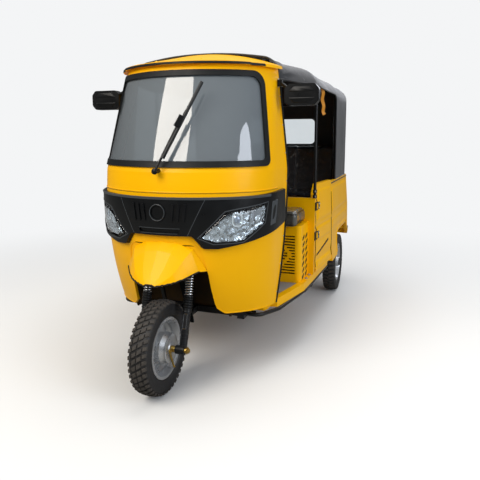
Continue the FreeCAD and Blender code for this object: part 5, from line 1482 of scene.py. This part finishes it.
@dataclass
class RearBody:
    """Pressings of the tub's sides and back, tail lamps' details, blank plate and bumper ends."""

    arch_line: tuple[tuple[float, float], ...] = (
        (1836, 384), (1848, 520), (1878, 556), (1930, 566), (2300, 566), (2362, 548), (2440, 476),
        (2500, 430),
    )
    # Corners, rise and border of the side's raised panels
    panels: tuple[tuple[tuple[tuple[float, float], ...], float, float], ...] = (
        (((1630, 610), (2420, 610), (2420, 684), (1630, 684)), 4.0, 14.0),
        (((1630, 730), (2410, 730), (2400, 924), (1630, 924)), 5.0, 16.0),
    )

    def sides(self) -> None:
        """Raised panel over each wheel, and the rolled lip round each wheel opening."""
        skin = Skin("rear_body")
        panels, lips, rails = Form(), Form(), Form()
        for side in (-1, 1):
            toward = LEFT * -side
            for corners, rise, chamfer in self.panels:
                pressing(panels, skin, corners, toward, rise, chamfer, 26)
            corners = curve_through([Vector((y, z, 0)) for y, z in self.arch_line], 5)
            line = skin.line((spot(side * BESIDE, c.x, c.y + 9.0) for c in corners), toward)
            follow(lips, [hit for hit in line if abs(hit[0].x) > 0.56],
                   [(-6, -1), (6, -1), (5, 3.4), (2, 4.6), (-5, 1.6)])
            starts = (spot(side * BESIDE, 1606.0 + 850.0 * k / 23, 950.0) for k in range(24))
            follow(rails, skin.line(starts, toward), strip(5, 4, 3))
        panels.piece("rear_side_pressings", YELLOW, smooth=50)
        lips.piece("rear_arch_lips", YELLOW, smooth=50)
        rails.piece("rear_rail_trims", BLACK_ENAMEL)

    def back(self) -> None:
        """Engine-room door with its ribs, catch and hinges, bare plate and its two bolts."""
        skin = Skin("rear_body")
        door, bolts, plate, catch = Form(), Form(), Form(), Form()
        rows = []
        for i in range(13):
            row = []
            for j in range(21):
                u, t = border_step(j, 20), border_step(i, 12)
                x, z = -330.0 + 660.0 * u, 500.0 + 360.0 * t
                edge = min(u * 660.0, (1 - u) * 660.0, t * 360.0, (1 - t) * 360.0)
                met = skin.meet(spot(x, BEHIND, z), FRONT)
                lift = -0.6 + 5.6 * min(edge / 14.0, 1.0)
                row.append(met[0] + met[1] * lift * MM if met else spot(x, 2530, z))
            rows.append(row)
        door.skin(rows, around=False, capped=False)
        for x in (-200.0, -100.0, 0.0, 100.0, 200.0):
            line = skin.line((spot(x, BEHIND, 700.0 + 130.0 * k / 9) for k in range(10)), FRONT)
            follow(door, [(point + normal * 4.6 * MM, normal) for point, normal in line], strip(14, 9, 3.4))
        door.piece("rear_panel_door", YELLOW, smooth=50)
        for point, normal in skin.line([spot(0, BEHIND, 590)], FRONT):
            plate.prism(rounded(300, 110, 8, 3), 5.2, 7.0, at_place(point, LEFT, normal))
            for x in (-125.0, 125.0):
                add_fastener(bolts, Fastener.HEX, point + (LEFT * x + normal * 7.0) * MM, normal, 5.0)
            catch.box((60, 20, 10), at_place(point + (UP * 235.0 + normal * 9.0) * MM, LEFT, normal))
        for point, normal in skin.line((spot(x, BEHIND, 492) for x in (-250.0, 250.0)), FRONT):
            catch.turned([(7, -24), (7, 24)], at_place(point + normal * 4.0 * MM, UP, LEFT), 16)
        plate.piece("blank_plate", BLANK_PLATE, bevel=0.6)
        bolts.piece("blank_plate_bolts", ZINC)
        catch.piece("rear_door_catch", BLACK_ENAMEL, bevel=1.0)

    def lamps(self) -> None:
        """Amber part, rim and ribs on each tail lamp."""
        amber, rims = Form(), Form()
        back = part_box("tail_lamps")[1][1]
        for side in (-1, 1):
            face = at_place(Vector((side * 475.0 * MM, back, 814.0 * MM)), LEFT, BACK)
            rings = []
            for w, h, lift in ((90, 140, -1), (96, 146, -1), (96, 146, -9), (90, 140, -9)):
                rings.append([local(face, a, b, lift) for a, b in rounded(w, h, 6, 3)])
            rims.skin(rings, looped=True)
            lens = face @ moved(0, 42, 0)
            amber.prism(rounded(82, 46, 5, 3), -3.0, -0.2, lens)
            rims.box((88, 3, 2), face @ moved(0, 17, -0.8))
            rims.box((88, 3, 2), face @ moved(0, -28, -0.8))
        amber.piece("tail_lamp_amber", AMBER_LENS)
        rims.piece("tail_lamp_rims", ABS, bevel=0.6)

    def bumper_ends(self) -> None:
        """Rubber caps on the ends of both bumper bars."""
        form = Form()
        for x, z in ((530.0, 350.0), (596.0, 452.0)):
            for side in (-1, 1):
                place = at_place(spot(side * (x - 18.0), 2602.0, z), UP, LEFT * side)
                form.turned([(22.3, 0), (22.9, 1), (22.9, 15), (21, 18.4), (14, 19.6), (2, 19.9)], place, 32)
        form.piece("bumper_caps", EPDM)

    def build(self) -> None:
        """Make the rear body's pieces."""
        self.sides()
        self.back()
        self.lamps()
        self.bumper_ends()


# Cushions


@dataclass
class Cushion:
    """Stuffed pad blown up like the real one, from a smaller copy of its solid, then piped."""

    node: str
    finish: Finish
    fill: float
    lean: float = 0.0
    shrink: float = 11.0
    voxel: float = 7.0
    pressure: float = 4.0
    cap: float = 22.0
    proud: float = 3.0
    seams: tuple[float, ...] = ()
    channels: int = 0

    def room(self) -> tuple[Matrix, Matrix, Vector]:
        """Frame at the pad's middle and tilted with it, the way back to that frame, and the solid's size."""
        low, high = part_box(self.node)
        place = Matrix.Translation((Vector(low) + Vector(high)) / 2)
        place = place @ Matrix.Rotation(math.radians(-self.lean), 4, "X")
        back = place.inverted()
        points = [back @ v.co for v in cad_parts[self.node].data.vertices]
        size = Vector([max(p[i] for p in points) - min(p[i] for p in points) for i in range(3)])
        return place, back, size

    def blank(self) -> bpy.types.Object:
        """Smaller copy of the solid, remeshed evenly."""
        place, back, size = self.room()
        keep = [(size[i] - 2 * self.shrink * MM) / size[i] for i in range(3)]
        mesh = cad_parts[self.node].data.copy()
        mesh.name = f"{self.node}_pad"
        for vertex in mesh.vertices:
            p = back @ vertex.co
            vertex.co = place @ Vector([p[i] * keep[i] for i in range(3)])
        made = placed(mesh.name, mesh)
        remesh = made.modifiers.new("even", "REMESH")
        remesh.mode, remesh.voxel_size = "VOXEL", self.voxel * MM
        return baked(made)

    def blow_up(self, pad: bpy.types.Object) -> None:
        """Swell the pad with cloth under pressure, and cap how far it moves."""
        before = [v.co.copy() for v in pad.data.vertices]
        cloth = pad.modifiers.new("swell", "CLOTH")
        cloth.settings.use_pressure = True
        cloth.settings.uniform_pressure_force = self.pressure
        cloth.settings.effector_weights.gravity = 0.0
        cloth.settings.quality = 4
        cloth.settings.tension_stiffness = 12.0
        cloth.settings.bending_stiffness = 1.5
        for step in range(1, 21):
            bpy.context.scene.frame_set(step)
        baked(pad)
        bpy.context.scene.frame_set(1)
        for vertex, old in zip(pad.data.vertices, before):
            way = vertex.co - old
            if way.length > self.cap * MM:
                vertex.co = old + way.normalized() * self.cap * MM

    def keep_in(self, pad: bpy.types.Object) -> None:
        """Hold the pad within the room of its solid, a little proud of it at most."""
        place, back, size = self.room()
        reach = [size[i] / 2 + (self.proud * MM if i else 0.0) for i in range(3)]
        for vertex in pad.data.vertices:
            p = back @ vertex.co
            held = Vector([max(-reach[i], min(reach[i], p[i])) for i in range(3)])
            if not self.lean:
                held.z = max(held.z, -size.z / 2)
            else:
                held.y = min(held.y, size.y / 2)
            vertex.co = place @ held

    def wrinkle(self, pad: bpy.types.Object) -> None:
        """Slack creases of the cover, deepest at the front edge and the corners."""
        _, back, size = self.room()
        normals = [v.normal.copy() for v in pad.data.vertices]
        for vertex, normal in zip(pad.data.vertices, normals):
            p = back @ vertex.co
            rim = max(abs(p.x) / (size.x / 2), abs(p.y) / (size.y / 2), abs(p.z) / (size.z / 2)) ** 6
            slow = noise.noise(Vector((p.x * 16.0, p.y * 16.0, p.z * 28.0)))
            fine = noise.noise(Vector((p.x * 55.0, p.y * 30.0, p.z * 55.0)))
            groove = 0.0
            if self.channels:
                share = abs((p.x / size.x * self.channels) % 1.0 - 0.5) * 2
                groove = 5.0 * math.exp(-((1 - share) / 0.05) ** 2)
            depth = (1.2 * slow + 0.8 * fine) * (0.4 + 0.6 * rim) + groove + 1.2
            vertex.co = vertex.co - normal * depth * MM

    def piping(self, pad: bpy.types.Object) -> None:
        """Cord of vinyl sewn round the pad's edge at each seam."""
        tree = tree_of(pad.data)
        place, _, size = self.room()
        axis = 1 if self.lean else 2
        long, short = size.x / MM, (size.z if self.lean else size.y) / MM
        form = Form()
        for share in self.seams:
            level = (share - 0.5) * size[axis]
            line = []
            for a, b in rounded(long + 90, short + 90, 60, 10):
                core = max(-(long - short) / 2, min((long - short) / 2, a))
                ends = []
                for pair in ((a, b), (core, 0.0)):
                    p = [pair[0] * MM, 0.0, 0.0]
                    p[2 if self.lean else 1] = pair[1] * MM
                    p[axis] = level
                    ends.append(place @ Vector(p))
                hit, normal, _, _ = tree.ray_cast(ends[0], (ends[1] - ends[0]).normalized())
                if hit is not None:
                    line.append(hit - normal * 0.5 * MM)
            form.tube(spaced(line, 150), 3.4, 8, looped=True)
        form.piece(f"{self.node}_piping", PIPING, smooth=60)

    def build(self) -> None:
        """Make the pad and its piping."""
        pad = self.blank()
        self.blow_up(pad)
        self.keep_in(pad)
        self.wrinkle(pad)
        soften(pad, 70.0)
        carried(pad, self.finish)
        self.piping(pad)
        sub = pad.modifiers.new("rounds", "SUBSURF")
        sub.levels = sub.render_levels = 1
        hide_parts(self.node)


def baked(made: bpy.types.Object) -> bpy.types.Object:
    """Apply an object's modifiers to its mesh."""
    graph = bpy.context.evaluated_depsgraph_get()
    mesh = bpy.data.meshes.new_from_object(made.evaluated_get(graph))
    mesh.name = made.name
    made.modifiers.clear()
    made.data = mesh
    return made


def spaced(line: Sequence[Vector], count: int) -> list[Vector]:
    """Points at even distances round a closed line."""
    loop = list(line) + [line[0]]
    lengths = [0.0]
    for a, b in zip(loop, loop[1:]):
        lengths.append(lengths[-1] + (b - a).length)
    points, at = [], 0
    for k in range(count):
        want = lengths[-1] * k / count
        while lengths[at + 1] < want:
            at += 1
        span = lengths[at + 1] - lengths[at]
        share = (want - lengths[at]) / span if span > 1e-9 else 0.0
        points.append(loop[at].lerp(loop[at + 1], share))
    return points


# Canopy


@dataclass
class Canopy:
    """Canvas cover cut from the outer face of its solid, slack between the hoops, with its trims."""

    hoops: tuple[float, ...] = (658.0, 1132.0, 1870.0, 2490.0)
    sag: float = 7.0
    fold: float = 3.2
    flat: tuple[float, float] = (2.3, 2.6)
    area: float = 3.7
    cell: float = 0.04

    def outer_faces(self) -> bmesh.types.BMesh:
        """Outer face of the canvas solid."""
        shell = welded("canopy")
        shell.normal_update()
        tree = BVHTree.FromBMesh(shell)
        low, high = spot(0, 700, 0).y, spot(0, 2120, 0).y
        away = []
        for face in shell.faces:
            centre = face.calc_center_median()
            core = Vector((0.0, min(max(centre.y, low), high), 1.2))
            hit = tree.ray_cast(centre - face.normal * 0.001, -face.normal, 0.03)
            if face.normal.dot(centre - core) <= 0 or hit[0] is None:
                away.append(face)
        bmesh.ops.delete(shell, geom=away, context="FACES")
        return shell

    def cut_up(self, shell: bmesh.types.BMesh) -> None:
        """Cut the faces on a grid, so that they can fold."""
        for normal, first, last in ((BACK, -0.56, 1.30), (LEFT, -0.58, 0.58), (UP, 0.97, 1.75)):
            for k in range(int((last - first) / self.cell) + 1):
                everything = shell.verts[:] + shell.edges[:] + shell.faces[:]
                bmesh.ops.bisect_plane(shell, geom=everything, dist=1e-5,
                                       plane_co=normal * (first + k * self.cell), plane_no=normal)
        bmesh.ops.remove_doubles(shell, verts=shell.verts, dist=1e-4)

    def slack(self, point: Vector) -> float:
        """How far the canvas sinks inward at a point, in millimetres."""
        y = point.y / MM - STATION_ZERO_Y
        bay = 0.0
        for a, b in zip(self.hoops, self.hoops[1:]):
            if a <= y <= b:
                bay = math.sin(math.pi * (y - a) / (b - a))
        top = max(0.0, min(1.0, (point.z - 1.55) / 0.12))
        across = math.hypot(point.x, (point.z - 1.0)) * 6.0
        corner = Vector((math.copysign(0.45, point.x), spot(0, 658, 0).y, 1.62))
        reach = (point - corner).length
        angle = math.atan2(point.z - corner.z, point.y - corner.y)
        rays = math.sin(angle * 15.0 + reach * 2.0) * math.exp(-reach / 0.55) * min(reach / 0.1, 1.0)
        slow = noise.noise(Vector((point.x * 3.1 + 4.0, point.y * 2.3, point.z * 3.0)))
        fine = noise.noise(Vector((point.x * 9.0, point.y * 7.0 + across, point.z * 6.0)))
        wall = 1.0 - top
        pleats = math.sin(point.y * 24.0 + 2.0 * slow) * wall * max(0.0, min(1.0, (1.6 - point.z) / 0.2))
        folds = self.fold * (0.9 * rays + 0.7 * slow + 0.35 * fine + 0.25 * pleats)
        return self.sag * bay * (0.35 + 0.65 * top) + folds + 1.8

    def cloth(self) -> None:
        """Make the canvas."""
        shell = self.outer_faces()
        self.cut_up(shell)
        shell.normal_update()
        for vertex in shell.verts:
            p = vertex.co
            at_window = abs(p.x) < 0.33 and 1.2 < p.z < 1.47 and p.y > 1.1
            hold = 0.15 if at_window else 1.0
            out = Vector((p.x, 0.0, p.z - 1.3)) if p.y < 0.9 else Vector((p.x * 0.5, 0.6, (p.z - 1.3)))
            way = vertex.normal if vertex.normal.length > 0.5 else out.normalized()
            vertex.co = p - way * self.slack(p) * hold * MM
        rims = [[v.co.copy() for v in e.verts] for e in shell.edges if e.is_boundary]
        made = placed("canopy_canvas", settled(shell, "canopy_canvas"))
        soften(made, 80.0)
        carried(made, CANVAS)
        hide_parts("canopy")
        log.info("canvas area %.3f m2", sum(p.area for p in made.data.polygons))
        self.hem(rims)

    def hem(self, rims: Sequence[Sequence[Vector]]) -> None:
        """Rolled binding along every free edge of the canvas."""
        mesh = bpy.data.meshes.new("canopy_binding")
        points, edges, known = [], [], {}
        for a, b in rims:
            pair = []
            for p in (a, b):
                key = tuple(round(c, 4) for c in p)
                if key not in known:
                    known[key] = len(points)
                    points.append(p)
                pair.append(known[key])
            if pair[0] != pair[1]:
                edges.append(tuple(pair))
        mesh.from_pydata([tuple(p) for p in points], edges, [])
        made = placed("canopy_binding", mesh)
        made.modifiers.new("cord", "SKIN").use_smooth_shade = True
        for item in mesh.skin_vertices[0].data:
            item.radius = (0.004, 0.004)
        carried(baked(made), CANVAS)

    def window_border(self) -> None:
        """Canvas welt round the clear window."""
        form = Form()
        starts = [spot(a, BEHIND, 1335.0 + b) for a, b in rounded(2 * 312.0, 244.0, 50.0, 8)]
        follow(form, Skin("canopy").line(starts, FRONT), strip(12, 11, 1.6), looped=True)
        form.piece("window_border", CANVAS, smooth=50)

    def ribbon(self) -> None:
        """Tie that hangs from the left front of the roof rail."""
        form = Form()
        route = curve_through([spot(556, 1392, 1612), spot(561, 1402, 1580), spot(552, 1420, 1540),
                               spot(560, 1436, 1500), spot(554, 1448, 1462), spot(562, 1455, 1440)], 8)
        outs = [Vector((0.5, -0.8, 0.3 * math.sin(k * 0.6))).normalized() for k in range(len(route))]
        form.swept(route, [(-11, -0.5), (11, -0.5), (11, 0.5), (-11, 0.5)], outs)
        form.piece("tie_ribbon", RIBBON, smooth=60)

    def build(self) -> None:
        """Make the canvas and its trims."""
        self.cloth()
        self.window_border()
        self.ribbon()


def sub_assemblies() -> list[Wheel | Fork | Nose | Cab | Door | RearBody | Cushion | Canopy]:
    """The sub-assemblies, in the order in which they are made."""
    return [
        Wheel("front", "front_wheel", "front_tyre", 0.0, FRONT_AXLE_Y, 1, False),
        Wheel("rear_left", "rear_wheel_left", "rear_tyre_left", 540.0, REAR_AXLE_Y, 1, True),
        Wheel("rear_right", "rear_wheel_right", "rear_tyre_right", -540.0, REAR_AXLE_Y, -1, True),
        Fork(),
        Nose(),
        Cab(),
        Door(1),
        Door(-1),
        RearBody(),
        Cushion("driver_cushion", GREY_VINYL, 0.75, seams=(0.84, 0.14), shrink=4.0),
        Cushion("passenger_cushion", SEAT_VINYL, 0.75, seams=(0.84, 0.14), channels=6),
        Cushion("passenger_backrest", SEAT_VINYL, 0.7, lean=8.0, seams=(0.2,), channels=6),
        Canopy(),
    ]


# Studio


@dataclass
class Studio:
    """Camera at the photograph's angle, pale floor, and soft light at a plain level."""

    eye: tuple[float, float, float] = (1198.0, -2145.0, 1293.0)
    yaw: float = 19.25
    pitch: float = 8.63
    roll: float = -0.18
    lens: float = 38.4
    shift_y: float = -0.054
    floor_reach: float = 30.0
    aim_height: float = 0.8

    def camera(self) -> None:
        """Camera where the photographer stood."""
        data = bpy.data.cameras.new("view")
        data.lens, data.sensor_width, data.shift_y = self.lens, 36.0, self.shift_y
        made = placed("view", data)
        yaw, pitch = math.radians(self.yaw), math.radians(self.pitch)
        look = Vector((-math.sin(yaw) * math.cos(pitch), math.cos(yaw) * math.cos(pitch), -math.sin(pitch)))
        turn = look.to_track_quat("-Z", "Y").to_matrix() @ Matrix.Rotation(math.radians(self.roll), 3, "Z")
        made.matrix_world = Matrix.Translation(spot(*self.eye)) @ turn.to_4x4()
        bpy.context.scene.camera = made

    def floor(self) -> None:
        """Pale matt floor that keeps the vehicle's shadow and shows as white paper far off."""
        mesh = bpy.data.meshes.new("floor")
        r = self.floor_reach
        mesh.from_pydata([(-r, -r, 0), (r, -r, 0), (r, r, 0), (-r, r, 0)], [], [(0, 1, 2, 3)])
        made = placed("floor", mesh)
        material = bpy.data.materials.new("pale_floor")
        material.use_nodes = True
        tree = material.node_tree
        shader = tree.nodes["Principled BSDF"]
        shader.inputs["Base Color"].default_value = linear("#E6E6E4")
        shader.inputs["Roughness"].default_value = 0.9
        shader.inputs["Specular IOR Level"].default_value = 0.1
        where = add_node(tree, "ShaderNodeTexCoord", {}, {}).outputs["Object"]
        far = add_node(tree, "ShaderNodeVectorMath", {"operation": "LENGTH"}, {0: where}).outputs["Value"]
        fade = ranged(tree, far, (1.2, 4.6), kind="SMOOTHSTEP")
        path = add_node(tree, "ShaderNodeLightPath", {}, {})
        dull = add_node(tree, "ShaderNodeBsdfDiffuse", {}, {"Color": linear("#A19F9A")}).outputs[0]
        near = shaded(tree, path.outputs["Is Camera Ray"], dull, shader.outputs[0])
        sight = maths(tree, "MAXIMUM", path.outputs["Is Camera Ray"], path.outputs["Is Transmission Ray"])
        paper = add_node(tree, "ShaderNodeEmission", {}, {"Color": linear("#F4F5F6"), "Strength": 1.0})
        both = shaded(tree, maths(tree, "MULTIPLY", fade, sight), near, paper.outputs[0])
        tree.links.new(both, tree.nodes["Material Output"].inputs["Surface"])
        made.data.materials.append(material)

    def world(self) -> None:
        """Sky light, brightest overhead and dim at the horizon, shown to the camera as white."""
        made = bpy.data.worlds.new("studio")
        made.use_nodes = True
        tree = made.node_tree
        tree.nodes.clear()
        out = add_node(tree, "ShaderNodeOutputWorld", {}, {})
        path = add_node(tree, "ShaderNodeLightPath", {}, {})
        either = maths(tree, "MAXIMUM", path.outputs["Is Camera Ray"], path.outputs["Is Transmission Ray"])
        where = add_node(tree, "ShaderNodeTexCoord", {}, {}).outputs["Generated"]
        height = add_node(tree, "ShaderNodeSeparateXYZ", {}, {0: where}).outputs[2]
        level = ranged(tree, height, (0.05, 0.9), (0.1, 0.75), "SMOOTHSTEP")
        soft = add_node(tree, "ShaderNodeBackground", {}, {"Color": linear("#EDEFF2"), "Strength": level})
        seen = add_node(tree, "ShaderNodeBackground", {}, {"Color": linear("#F4F5F6"), "Strength": 1.0})
        tree.links.new(shaded(tree, either, soft.outputs[0], seen.outputs[0]), out.inputs[0])
        bpy.context.scene.world = made

    def lamps(self) -> None:
        """A broad key from the picture's left, a fill from its right, and soft lights above and behind."""
        rows = (
            ("key", (-1.6, -4.6, 4.2), 3.4, 212.0, "#FFF8EE"),
            ("fill", (4.8, -2.4, 2.4), 3.2, 134.0, "#EEF4FF"),
            ("top", (0.3, 0.6, 5.6), 4.0, 104.0, "#FFFFFF"),
            ("back", (1.0, 5.2, 3.4), 3.0, 66.0, "#F3F6FF"),
        )
        for name, place, size, watts, tint in rows:
            data = bpy.data.lights.new(name, "AREA")
            data.shape, data.size, data.energy = "DISK", size, watts
            data.color = linear(tint)[:3]
            away = Vector(place) - UP * self.aim_height
            placed(name, data).matrix_world = at_place(Vector(place), Vector((1, 0.1, 0)), away)

    def build(self) -> None:
        """Set up the whole studio."""
        self.camera()
        self.floor()
        self.world()
        self.lamps()
        bpy.context.scene.view_settings.view_transform = "Standard"


def main() -> None:
    """Dress the CAD nodes, build each sub-assembly and set up the studio."""
    dress_cad()
    for part in sub_assemblies():
        log.info("building %s", type(part).__name__)
        part.build()
    Studio().build()


if __name__ == "__main__":
    main()
